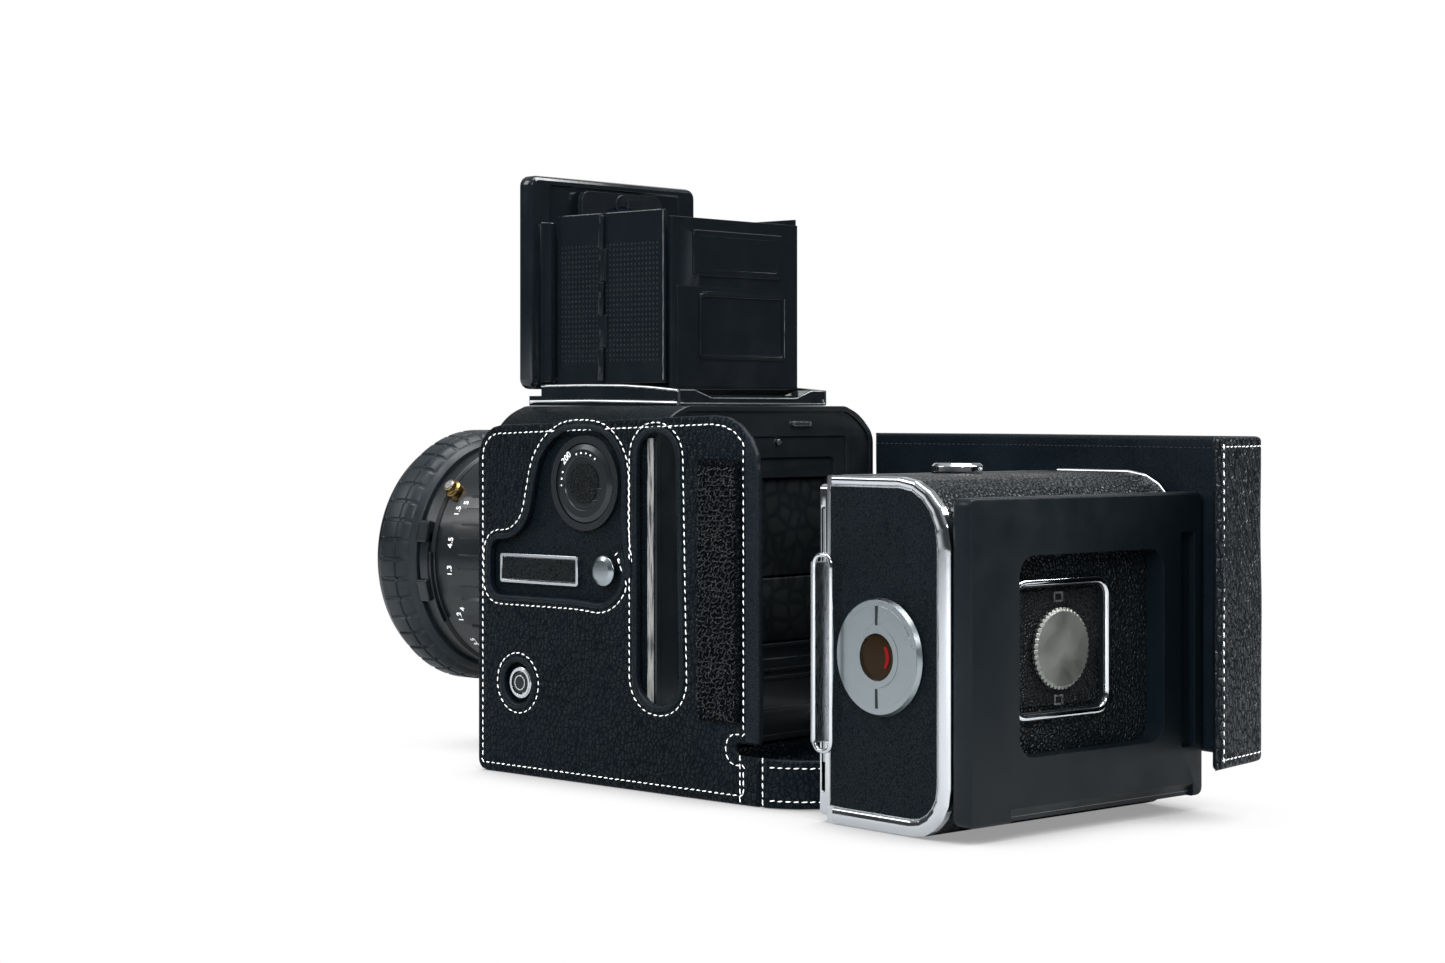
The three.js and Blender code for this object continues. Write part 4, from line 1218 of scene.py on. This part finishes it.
def add_loop_tape():
    """Hook and loop tape: a backing with rows of small thread loops."""
    low, high = corners("velcro_strip")
    refine("velcro_strip", "tape", 0.4)
    draw = random.Random("loops")
    shapes = []
    pitch = 1.35
    rows, columns = int((high.z - low.z - 1.6) / pitch), int((high.y - low.y - 1.4) / pitch)
    for i in range(rows):
        for j in range(columns):
            y = low.y + 1.1 + pitch * j + draw.uniform(-0.3, 0.3)
            z = low.z + 1.2 + pitch * i + draw.uniform(-0.3, 0.3)
            spot = Vector((high.x + draw.uniform(-0.1, 0.1), y, z))
            turn = Matrix.Rotation(draw.uniform(0, math.pi), 3, "X")
            tilt = Matrix.Rotation(draw.uniform(0.5, 1.3), 3, "Z")
            shapes.append(loop_shape(spot, turn @ tilt, draw.uniform(0.5, 0.8), 0.15))
    make("loop_tape_pile", "camera", "loop", joined(*shapes), "loop_tape", sharp=80)


def loop_shape(centre, turn, radius, thickness):
    """One thread loop of the tape, as a small torus."""
    verts = []
    around, sides = 8, 4
    for i in range(around):
        a = 2 * math.pi * i / around
        out = Vector((0, math.cos(a), math.sin(a)))
        for k in range(sides):
            b = 2 * math.pi * k / sides
            ring_point = out * (radius + thickness * math.cos(b)) + SIDEWAYS * thickness * math.sin(b)
            verts.append(centre + turn @ ring_point)
    return verts, tube_faces(around, sides, closed=True)


def plan(joint):
    place = JOINTS[joint]["pos_m"]
    return (place[0] / MM, place[1] / MM)


def dress_flap():
    """The open rear flap, as two leather sheets that bend across its creases."""
    low, high = corners("flap_rear_panel")
    tab_low, tab_high = corners("flap_tab")
    pivot, crease, fold = plan("flap_side_fold"), plan("flap_rear_fold"), plan("flap_tab_fold")
    thickness = 2.5
    half = thickness / 2
    tip = (tab_high.x - half, tab_high.y - half)
    split = tuple((a + b) / 2 for a, b in zip(crease, fold))
    side_path = eased_path([pivot, crease, split], [0, 9, 0], 1.6)
    tab_path = eased_path([split, fold, tip], [0, 4.5, 0], 1.1)
    side_blend = ("flap_side", "flap_rear",
                  (crease[0] * MM, (crease[1] - 7) * MM, 0), (crease[0] * MM, (crease[1] + 7) * MM, 0))
    reach = 4.0
    start = (Vector(fold) - (Vector(fold) - Vector(crease)).normalized() * reach) * MM
    end = (Vector(fold) + (Vector(tip) - Vector(fold)).normalized() * reach) * MM
    tab_blend = ("flap_rear", "flap_tab", (start.x, start.y, 0), (end.x, end.y, 0))
    hanging_sheet("flap_side_leather", side_path, low.z, high.z, thickness, (True, False),
                  "case_leather", ["flap_side_panel", "flap_rear_panel"])
    hanging_sheet("flap_tab_leather", tab_path, low.z, high.z, thickness, (False, True),
                  "case_leather", ["flap_tab"], Vector((fold[0] - 1, fold[1], 0)))
    sew_flap(side_path, low.z, high.z, half, side_blend, "flap_side", False)
    sew_flap(tab_path, low.z, high.z, half, tab_blend, "flap_tab", True)


def sew_flap(path, low, high, half, blend, name, has_tip):
    skip = 2.6 if has_tip else 0.0
    lines = []
    lookup = sheet_row(path, low, half)

    def outward(point):
        flat = Vector((point.x, point.y, low))
        return min(lookup, key=lambda item: (item[0] - flat).length)[1]

    for z in (low + 2.5, high - 2.5):
        row = sheet_row(path, z, half + 0.03, 0.0, skip)
        lines.append(([p for p, _ in row], outward, False))
    if has_tip:
        tip_row = sheet_row(path, low, half + 0.03, 0.0, skip)
        foot = tip_row[-1][0]
        edge = [Vector((foot.x, foot.y, low + 2.5 + (high - low - 5) * k / 40)) for k in range(41)]
        lines.append((edge, outward, False))
    stitching(name + "_stitching", None, lines, "loop_tape", blend=blend)
    inner = sheet_row(path, high - 3.2, -half - 0.02, 2.0, skip)
    stitching(name + "_inner_stitching", None, [([p for p, _ in inner], lambda p: -outward(p), False)],
              "loop_tape", look="dark_thread", size=0.8, blend=blend)


# ------------------------------------------------------------------ finder and hood


def dress_finder():
    refine("finder_base", "hood", 0.3)
    refine("hood_lid", "hood", 0.35)
    for side in ("left", "right"):
        for place in ("front", "rear"):
            refine(f"hood_leaf_{place}_{side}", "hood", 0.18)
            perforate(f"hood_leaf_{place}_{side}", side)
            edge_line(f"hood_leaf_{place}_{side}", side)
    refine("hood_rear_panel", "hood", 0.28)
    refine("magnifier_plate", "enamel", 0.25)
    spin("magnifier_lens", "lens", (middle("magnifier_lens"), BACK), columns=96, width=0.0)
    add_knuckles()
    add_rail_trim()
    add_rear_panel_relief()


def perforate(node, side):
    """The punched dot pattern on the outside of a hood leaf."""
    low, high = corners(node)
    sign = 1 if side == "left" else -1
    x = (high.x if sign > 0 else low.x) - sign * 1.6
    pitch = 1.45
    z0, z1 = low.z + 6.5, high.z - 7.5
    y0, y1 = low.y + 2.0, high.y - 2.0
    shapes = []
    for i in range(int((z1 - z0) / pitch)):
        for j in range(int((y1 - y0) / pitch) + 1):
            spot = Vector((x, y0 + pitch * j, z0 + pitch * i))
            runs = [((0, 0.14), (0.2, 0.1)), ((0.2, 0.1), (0.36, 0)), ((0, -0.03), (0.36, 0))]
            shapes.append(turned(runs, spot, SIDEWAYS * sign, UP, 7))
    make(node + "_dots", BODY_OF[node], "plastic", joined(*shapes), "black_enamel", sharp=80)


def edge_line(node, side):
    """Bare metal along the top edge of a leaf, where the enamel has rubbed off."""
    low, high = corners(node)
    sign = 1 if side == "left" else -1
    face = (high.x if sign > 0 else low.x) - sign * 1.6
    strip = box((min(face, face - sign * 0.4), low.y + 1.8, high.z - 0.25),
                (max(face, face - sign * 0.4), high.y - 1.8, high.z + 0.05))
    make(node + "_edge", BODY_OF[node], "steel", strip, "satin_steel", width=0.05)
    if "rear" in node:
        y = high.y - 0.35
        upright = box((face - 0.12, y - 0.2, low.z + 0.8), (face + 0.12, y + 0.2, high.z - 0.4))
        make(node + "_corner", BODY_OF[node], "steel", upright, "satin_steel", width=0.05)


def add_knuckles():
    """Short pins where the front and rear leaves meet, rubbed bright."""
    for side in ("left", "right"):
        place, axis = joint_line(f"rear_leaf_fold_{side}")
        sign = 1 if side == "left" else -1
        low, high = corners(f"hood_leaf_front_{side}")
        span = high.z - low.z
        shapes = []
        for k in range(5):
            z = low.z + span * (0.06 + 0.22 * k)
            base = Vector((place.x + sign * 0.75, place.y, z))
            shapes.append(turned(ring_runs(0, 0.32, 0, span * 0.035), base, UP, SIDEWAYS, 14))
        make(f"hood_knuckles_{side}", f"leaf_front_{side}", "chrome", joined(*shapes), "bright_chrome",
             sharp=40)


def add_rail_trim():
    """Bright lines that edge the finder base, and chrome posts that paint the highlight up its rear corners."""
    low, high = corners("finder_base")
    for sign, side in ((1, "left"), (-1, "right")):
        x = high.x if sign > 0 else low.x
        out = x + sign * 0.12
        top = [(out, low.y + 6.8, high.z - 0.5), (out, low.y + 24.8, high.z - 0.45),
               (out, high.y - 21.6, high.z - 0.65), (out, high.y - 9.6, high.z - 1.3),
               (out, high.y - 0.4, high.z - 2.1)]
        wire(f"rail_top_line_{side}", "finder", "chrome", "bright_chrome", top, 0.4)
        foot = [(x, low.y + 2, low.z + 1.15), (x, low.y + 26.8, low.z + 1.25),
                (x, high.y - 15.6, low.z + 0.95), (x, high.y - 0.4, low.z + 0.65)]
        wire(f"rail_foot_line_{side}", "finder", "chrome", "bright_chrome", foot, 0.62)
        # painted highlight: a chrome post up the rear corner stands in for the highlight on the rounded black
        # corner
        corner_highlight_path = [(x - sign * 0.25, high.y - 0.25, z) for z in (low.z + 0.4, high.z - 1.9)]
        wire(f"rail_corner_highlight_{side}", "finder", "chrome", "bright_chrome", corner_highlight_path, 0.42)
    y = high.y - 0.1
    fin = [(high.x - 0.5, low.z + 4.3), (high.x - 6.4, low.z + 4.3), (high.x - 13.6, low.z + 2.1)]
    line = [(x, y, z) for x, z in fin] + [(-x, y, z) for x, z in reversed(fin)]
    wire("fin_line", "finder", "steel", "satin_steel", line, 0.16)
    wire("fin_foot_line", "finder", "chrome", "bright_chrome",
         [(high.x - 0.5, y, low.z + 0.5), (low.x + 0.5, y, low.z + 0.5)], 0.32)


def add_rear_panel_relief():
    """Pressed panels on the rear of the hood, with a stepped seam between them, and a steel line that paints the
    highlight along the left edge of the lower panel.
    """
    low, high = corners("hood_rear_panel")
    y = high.y - 0.35
    seam = low.z + (high.z - low.z) * 0.6
    lower = prism([rounded([(low.x + 1.2, low.z + 1, 0.6), (high.x - 1.8, low.z + 1, 0.6),
                            (high.x - 1.8, seam, 0.5), (low.x + 1.2, seam, 0.5)])],
                  y - 0.02, y + 0.32, "y")
    make("hood_rear_lower_sheet", "hood_rear", "hood", lower, "black_enamel", width=0.2)
    left, right = low.x + 7.7, high.x - 8.5
    frame_loops = [rectangle(left, seam + 3.2, right, high.z - 3.4, 1.6),
                   rectangle(left + 2.0, seam + 5.0, right - 2.0, high.z - 5.2, 1.0)]
    make("hood_rear_upper_relief", "hood_rear", "hood",
         prism(frame_loops, y - 0.02, y + 0.48, "y"), "black_enamel", width=0.2, segments=3)
    inner = [rectangle(left - 1.2, low.z + 8.8, right - 2.4, seam - 1.9, 1.6),
             rectangle(left - 0.3, low.z + 9.7, right - 3.3, seam - 2.8, 1.1)]
    make("hood_rear_lower_relief", "hood_rear", "hood",
         prism(inner, y + 0.16, y + 0.8, "y"), "black_enamel", width=0.25, segments=3)
    # painted highlight: a bright steel line along the left edge of the lower relief
    edge_highlight_path = [(left - 0.9, y + 0.82, low.z + 9.4), (left - 0.9, y + 0.82, seam - 2.6)]
    wire("hood_rear_edge_highlight", "hood_rear", "steel", "satin_steel", edge_highlight_path, 0.09)
    scuff_top = [(left + 0.2, y + 0.46, high.z - 3.6), (right - 0.4, y + 0.46, high.z - 3.6)]
    wire("hood_rear_top_scuff", "hood_rear", "satin", "black_enamel", scuff_top, 0.12)


# ------------------------------------------------------------------ film magazine


def mag_make(name, body, look, shape, slot, stands_for=(), **options):
    return make(name, body, look, shape, slot, stands_for, turn=MAG_TURN, **options)


def mag_loop(node, direction):
    """Outlines of a node's outermost face, in the magazine's own axes."""
    back = MAG_TURN.inverted()
    return [[back @ p for p in loop] for loop in face_loops(node, direction)]


def dress_magazine():
    refine("magazine_shell", "top_leatherette", 0.3)
    refine("magazine_front_frame", "chrome", 0.4)
    refine("film_insert_frame", "steel", 0.2)
    refine("slide_holder", "plastic", 0.4, segments=3)
    key_line = joint_line("winding_key_turn")
    for node, joint in (("supply_spool", "supply_spool_turn"), ("take_up_spool", "take_up_spool_turn")):
        spin(node, "plastic", joint_line(joint), columns=64, width=0.15)
    catch = (middle("magazine_release_button"), UP)
    spin("magazine_release_button", "chrome", catch, start=-MAG_BACK, columns=96, width=0.2)
    dress_side_plate()
    dress_key(key_line)
    dress_dark_slide()
    dress_reminder()
    add_magazine_trim()


def dress_side_plate():
    """A wide bright rim round the key side, with leather cloth inside it."""
    refine("magazine_side_plate", "chrome", 0.35, segments=3)
    outer = mag_loop("magazine_side_plate", MAG_SIDE)[0]
    low, high = corners("magazine_side_plate", MAG_TURN)
    flat = [Vector((high.x, p.y, p.z)) for p in outer]
    inset = resampled(inset_loop(flat, SIDEWAYS, 4.3), 1.0)
    centre_z = (low.z + high.z) / 2
    half = high.z - centre_z
    inset = [Vector((p.x, p.y, p.z + max(0, p.z - centre_z) / half * 1.9)) for p in inset]
    front = low.y + 1.1
    cover = [(max(front, p.y), p.z) for p in inset if p.y > low.y + 3.2]
    cover = [(front, p[1]) if p[0] < low.y + 4.4 else p for p in cover]
    make_cover = prism([cover], high.x - 0.1, high.x + 0.14, "x")
    mag_make("magazine_side_cover", "magazine", "leatherette", make_cover, "leatherette", width=0.08)
    add_rim_bead(flat, low, high, centre_z)
    path = [Vector((high.x + 0.06, y, z)) for y, z in cover]
    wire("magazine_side_line", "magazine", "steel", "satin_steel", path, 0.2, closed=True,
         turn=MAG_TURN)


def add_rim_bead(outline, low, high, centre_z):
    """The rounded face of the bright rim. It is narrow along the top and wide at rear and foot."""
    fine = resampled(outline, 0.6)
    count, steps, rise = len(fine), 9, 0.8
    area = sum(fine[i].cross(fine[i - 1]).x for i in range(count))
    sign = -1 if area > 0 else 1
    verts, faces, rows = [], [], []
    for i in range(count):
        along = (fine[(i + 2) % count] - fine[i - 2]).normalized()
        inward = SIDEWAYS.cross(along) * sign
        point = fine[i]
        share = max(0, point.z - centre_z) / (high.z - centre_z)
        width = 4.3 - 1.9 * share * abs(inward.z)
        rows.append(point.y > low.y + 2.0)
        for k in range(steps):
            a = math.pi * k / (steps - 1)
            across = inward * width * (0.5 - 0.5 * math.cos(a))
            verts.append(point + across + SIDEWAYS * (rise * math.sin(a) - 0.02))
    for i in range(count):
        n = (i + 1) % count
        if rows[i] and rows[n]:
            for k in range(steps - 1):
                faces.append((i * steps + k, n * steps + k, n * steps + k + 1, i * steps + k + 1))
            faces.append((i * steps, i * steps + steps - 1, n * steps + steps - 1, n * steps))
        elif rows[i] != rows[n]:
            edge = n if rows[n] else i
            faces.append(tuple(edge * steps + k for k in range(steps)))
    mag_make("magazine_rim_bead", "magazine", "chrome", (verts, faces), "bright_chrome", sharp=60)


def dress_key(line):
    """Key of the film advance: a rim, two half plates and a round window."""
    centre, axis = line
    spin("winding_key", "key_steel", line, columns=128, width=0.25)
    low, high = corners("winding_key", MAG_TURN)
    place = MAG_TURN.inverted() @ centre
    cy, cz = place.y, place.z
    face = high.x
    radius = (high.y - low.y) / 2
    window = 7.1
    gap = 0.42
    half_turn = math.pi / 2
    rear_wing = sector(cy, cz, window + 0.5, radius - 2.0, -half_turn + 0.04, half_turn - 0.04)
    front_plate = sector(cy, cz, window + 0.5, radius - 2.0, half_turn + 0.04, 3 * half_turn - 0.04)
    handle = rectangle(cy + radius - 3.4, cz - 3.1, cy + radius - 0.9, cz + 3.1, 0.4)
    plates = (("key_rear_wing", rear_wing, 0.12), ("key_front_plate", front_plate, 0.04),
              ("key_handle", handle, 0.14))
    for name, outline, height in plates:
        mag_make(name, "winding_key", "key_steel", prism([outline], face - 0.9, face + height, "x"),
                 "satin_steel", width=0.12)
    # flat black blocks in the gaps between the key plates paint the shade inside the slits
    spans = ((cz + window + 0.8, cz + radius - 2.1), (cz - radius + 2.1, cz - window - 0.8))
    slits = [box((face - 0.2, cy - gap, z0), (face + 0.17, cy + gap, z1)) for z0, z1 in spans]
    mag_make("key_slit_painted_shade", "winding_key", "flat", joined(*slits), "black_enamel")
    spin("key_window", "amber", line, columns=72, width=0.0)
    eye_face = corners("key_window", MAG_TURN)[1].x
    crescent = arc_points(cy, cz, 4.1, -0.75, 0.75, 16) + arc_points(cy - 1.3, cz, 4.3, 0.62, -0.62, 16)
    mag_make("key_window_mark", "winding_key", "red",
             prism([crescent], eye_face - 0.35, eye_face + 0.02, "x"), "optical_glass")
    ring = [arc_points(cy, cz, window + 0.45, 0, 2 * math.pi, 64)[:-1],
            arc_points(cy, cz, 5.9, 0, 2 * math.pi, 64)[:-1]]
    mag_make("key_window_rim", "winding_key", "key_steel",
             prism(ring, face - 0.9, face + 0.16, "x"), "satin_steel", width=0.12)


def dress_dark_slide():
    """A thin sheet with a flat grip at its end and a wire loop folded to the rear."""
    low, high = corners("dark_slide", MAG_TURN)
    sheet_y = low.y + 0.5
    grip_z0, grip_z1 = low.z + 3.4, high.z - 11.2
    side = corners("magazine_side_plate", MAG_TURN)[1].x
    sheet = box((low.x, sheet_y, low.z), (side - 0.3, sheet_y + 0.8, high.z))
    mag_make("dark_slide_sheet", "dark_slide", "steel", sheet, "satin_steel", ["dark_slide"], width=0.1)
    sleeve = prism([rectangle(low.y + 0.9, grip_z0 + 2, low.y + 2.5, grip_z1 - 2, 0.4)], side - 0.5,
                   high.x - 0.35, "x")
    mag_make("dark_slide_sleeve", "dark_slide", "steel", sleeve, "satin_steel", width=0.3, segments=3)
    radius = 0.62
    x = high.x - radius
    loop = rectangle(low.y + 1.9, grip_z0 + 0.2, high.y - radius, grip_z1 - 0.2, 2.4)
    path = [Vector((x, y, z)) for y, z in loop]
    wire("dark_slide_loop", "dark_slide", "chrome", "satin_steel",
         resampled(path, 0.8), radius, closed=True, turn=MAG_TURN)


def dress_reminder():
    """Square chrome frame with a leather plaque and the serrated reminder disc."""
    low, high = corners("reminder_frame", MAG_TURN)
    radius = 1.05
    y = high.y - radius
    outline = rectangle(low.x + radius, low.z + radius, high.x - radius, high.z - radius, 4.2)
    path = resampled([Vector((x, y, z)) for x, z in outline], 0.9)
    wire("reminder_frame_finish", "magazine", "chrome", "bright_chrome", path, radius, closed=True,
         turn=MAG_TURN, stands_for=["reminder_frame"])
    skirt = [rectangle(low.x + 0.2, low.z + 0.2, high.x - 0.2, high.z - 0.2, 4.6),
             rectangle(low.x + 2.3, low.z + 2.3, high.x - 2.3, high.z - 2.3, 3.0)]
    mag_make("reminder_frame_skirt", "magazine", "satin", prism(skirt, low.y, y, "y"), "black_enamel")
    inset = 3.4
    plaque = prism([rectangle(low.x + inset, low.z + inset, high.x - inset, high.z - inset, 1.6)],
                   low.y - 0.02, low.y + 0.32, "y")
    mag_make("reminder_plaque", "magazine", "plaque", plaque, "leatherette", width=0.15)
    disc_low, disc_high = corners("reminder_disc", MAG_TURN)
    centre, axis = joint_line("reminder_disc_turn")
    place = MAG_TURN.inverted() @ centre
    outer = (disc_high.x - disc_low.x) / 2
    runs = profile_of("reminder_disc", centre, axis, UP)
    teeth = 44

    def sink(angle, radius_here, along):
        if radius_here < outer - 0.4:
            return 0.0
        return 0.45 if math.sin(angle * teeth) < -0.2 else 0.0

    mag_disc = turned(runs, centre, axis, UP, teeth * 6, sink)
    make("reminder_disc_finish", "reminder_disc", "disc_steel", mag_disc, "satin_steel",
         ["reminder_disc"], sharp=30)
    for name, z in (("upper", place.z + outer + 2.6), ("lower", place.z - outer - 2.6)):
        rim_loops = [rectangle(place.x - 1.7, z - 1.3, place.x + 1.7, z + 1.3, 0.3),
                     rectangle(place.x - 1.15, z - 0.8, place.x + 1.15, z + 0.8, 0.2)]
        mag_make(f"reminder_window_{name}", "magazine", "steel",
                 prism(rim_loops, low.y + 0.2, low.y + 0.5, "y"), "satin_steel", width=0.08)


def add_magazine_trim():
    """Bright edges of the shell, and the steel strip at the foot of the slide holder, whose grey enamel paints the
    floor's reflection in the steel.
    """
    low, high = corners("magazine_shell", MAG_TURN)
    outer = mag_loop("magazine_side_plate", MAG_SIDE)[0]
    span = [p for p in resampled(outer, 1.0) if p.z > high.z - 30 and p.y > low.y + 1]
    span.sort(key=lambda p: math.atan2(p.z - (high.z - 30), p.y - low.y), reverse=True)
    path = [Vector((low.x + 0.3, p.y, p.z)) for p in span]
    wire("magazine_far_line", "magazine", "chrome", "bright_chrome", path, 0.55, turn=MAG_TURN)
    frame_low, frame_high = corners("magazine_front_frame", MAG_TURN)
    shoulder = prism([[(frame_low.y + 1.0, frame_high.z - 0.6), (low.y + 0.6, frame_high.z - 0.6),
                       (low.y + 0.6, high.z + 0.05), (frame_low.y + 2.6, high.z + 0.05)]],
                     low.x + 3.5, high.x - 3.5, "x")
    mag_make("magazine_shoulder", "magazine", "chrome", shoulder, "bright_chrome", width=0.2)
    holder_low, holder_high = corners("slide_holder", MAG_TURN)
    strip = box((holder_low.x + 4.2, holder_high.y - 1.9, holder_low.z + 1.2),
                (holder_low.x + 73.4, holder_high.y - 1.4, holder_low.z + 3.4))
    # the grey colour of the foot strip is painted reflection of the floor
    mag_make("holder_foot_strip", "magazine", "grey", strip, "black_plastic", width=0.15)


# ------------------------------------------------------------------ studio

VIEW_LINE = (-0.7361, -0.6769, 0)  # the way the camera looks
STAGE_MIDDLE = (0.0, 0.06, 0.06)


def stage_floor():
    """A wide pale floor, in metres."""
    mesh = bpy.data.meshes.new("floor")
    size = 6.0
    square = [(-size, -size, 0), (size, -size, 0), (size, size, 0), (-size, size, 0)]
    mesh.from_pydata(square, [], [(0, 1, 2, 3)])
    floor = bpy.data.objects.new("floor", mesh)
    bpy.context.scene.collection.objects.link(floor)
    look = Look("pale_floor", (0.3, 0.31, 0.32), 0.7)
    look.vary_roughness(look.clouds(80).outputs["Fac"], 0.6, 0.8)
    whiten_for_camera(look)
    mesh.materials.append(look.material)


def whiten_for_camera(look):
    """The camera sees the floor as glowing white paper, with a painted contact shadow from ambient occlusion right
    under things.
    """
    contact_shadow_ao = look.node("ShaderNodeAmbientOcclusion", samples=12)
    contact_shadow_ao.inputs["Distance"].default_value = 0.035
    paper = look.node("ShaderNodeEmission")
    # painted contact shadow: ambient occlusion dims the paper's glow under things
    shade = look.spread(contact_shadow_ao.outputs["AO"], 0.15, 0.85, 0.3, 1.0, smooth=True)
    look.link(shade, paper.inputs["Strength"])
    paths = look.node("ShaderNodeLightPath")
    mix = look.node("ShaderNodeMixShader")
    look.link(paths.outputs["Is Camera Ray"], mix.inputs[0])
    look.link(look.shader.outputs[0], mix.inputs[1])
    look.link(paper.outputs[0], mix.inputs[2])
    look.link(mix.outputs[0], look.tree.nodes["Material Output"].inputs["Surface"])


def area_light(name, place, size, power, sheen=True):
    """A square soft light, in metres and watts, that faces the middle of the object."""
    data = bpy.data.lights.new(name, "AREA")
    data.shape = "RECTANGLE"
    data.size = data.size_y = size
    data.energy = power
    lamp = bpy.data.objects.new(name, data)
    bpy.context.scene.collection.objects.link(lamp)
    lamp.location = place
    lamp.rotation_euler = (Vector(STAGE_MIDDLE) - Vector(place)).to_track_quat("-Z", "Y").to_euler()
    lamp.visible_glossy = sheen


def light_studio():
    """White surroundings as the camera sees them. Reflections see a soft gradient and the bright
    backdrop straight behind the object."""
    world = bpy.data.worlds.new("studio")
    bpy.context.scene.world = world
    world.use_nodes = True
    nodes, links = world.node_tree.nodes, world.node_tree.links
    nodes.clear()

    def node(kind, **values):
        made = nodes.new("ShaderNode" + kind)
        for socket, value in values.items():
            made.inputs[socket.replace("_", " ")].default_value = value
        return made

    output, mix = node("OutputWorld"), node("MixShader")
    seen = node("Background", Color=(1, 1, 1, 1), Strength=1.0)
    lit = node("Background", Strength=0.7)
    paths, place, split = node("LightPath"), node("TexCoord"), node("SeparateXYZ")
    height = node("MapRange", From_Min=-0.3, From_Max=1.0)
    ramp = node("ValToRGB")
    first, last = ramp.color_ramp.elements
    first.position, first.color = 0.0, (0.3, 0.31, 0.32, 1)
    last.position, last.color = 1.0, (0.75, 0.78, 0.8, 1)
    for position, value in ((0.22, 0.06), (0.42, 0.07), (0.6, 0.3)):
        ramp.color_ramp.elements.new(position).color = (value, value * 1.06, value * 1.12, 1)
    toward = node("VectorMath")
    toward.operation = "DOT_PRODUCT"
    toward.inputs[1].default_value = VIEW_LINE
    backdrop = node("MapRange", From_Min=0.8, From_Max=0.97, To_Max=0.95)
    whole = node("VectorMath")
    for source, target in (
        (place.outputs["Generated"], split.inputs[0]), (split.outputs["Z"], height.inputs["Value"]),
        (height.outputs[0], ramp.inputs["Fac"]), (place.outputs["Generated"], toward.inputs[0]),
        (toward.outputs["Value"], backdrop.inputs["Value"]), (ramp.outputs["Color"], whole.inputs[0]),
        (backdrop.outputs[0], whole.inputs[1]), (whole.outputs[0], lit.inputs["Color"]),
        (paths.outputs["Is Camera Ray"], mix.inputs[0]), (lit.outputs[0], mix.inputs[1]),
        (seen.outputs[0], mix.inputs[2]), (mix.outputs[0], output.inputs["Surface"]),
    ):
        links.new(source, target)
    area_light("key", (0.9, -0.9, 0.9), 0.6, 5)
    area_light("overhead", (-0.1, 0.25, 1.4), 1.1, 18)
    area_light("right_side", (-0.75, 0.95, 1.3), 0.8, 26)
    area_light("camera_side", (0.75, 1.5, 0.95), 0.4, 6)
    area_light("fill", (1.0, 0.45, 0.6), 0.8, 34, sheen=False)


def place_camera():
    """The camera stands level behind the key side, with its frame shifted down."""
    data = bpy.data.cameras.new("view")
    data.sensor_width = 36
    data.lens = 64.62
    data.shift_y = -0.0475
    data.clip_start, data.clip_end = 0.01, 50
    view = bpy.data.objects.new("view", data)
    bpy.context.scene.collection.objects.link(view)
    view.location = (0.5583, 0.5283, 0.1040)
    view.rotation_euler = Vector(VIEW_LINE).to_track_quat("-Z", "Y").to_euler()
    bpy.context.scene.camera = view


dress_body()
dress_lens()
dress_crank()
dress_case()
dress_flap()
dress_finder()
dress_magazine()
stage_floor()
light_studio()
place_camera()
bpy.context.scene.view_settings.view_transform = "Standard"
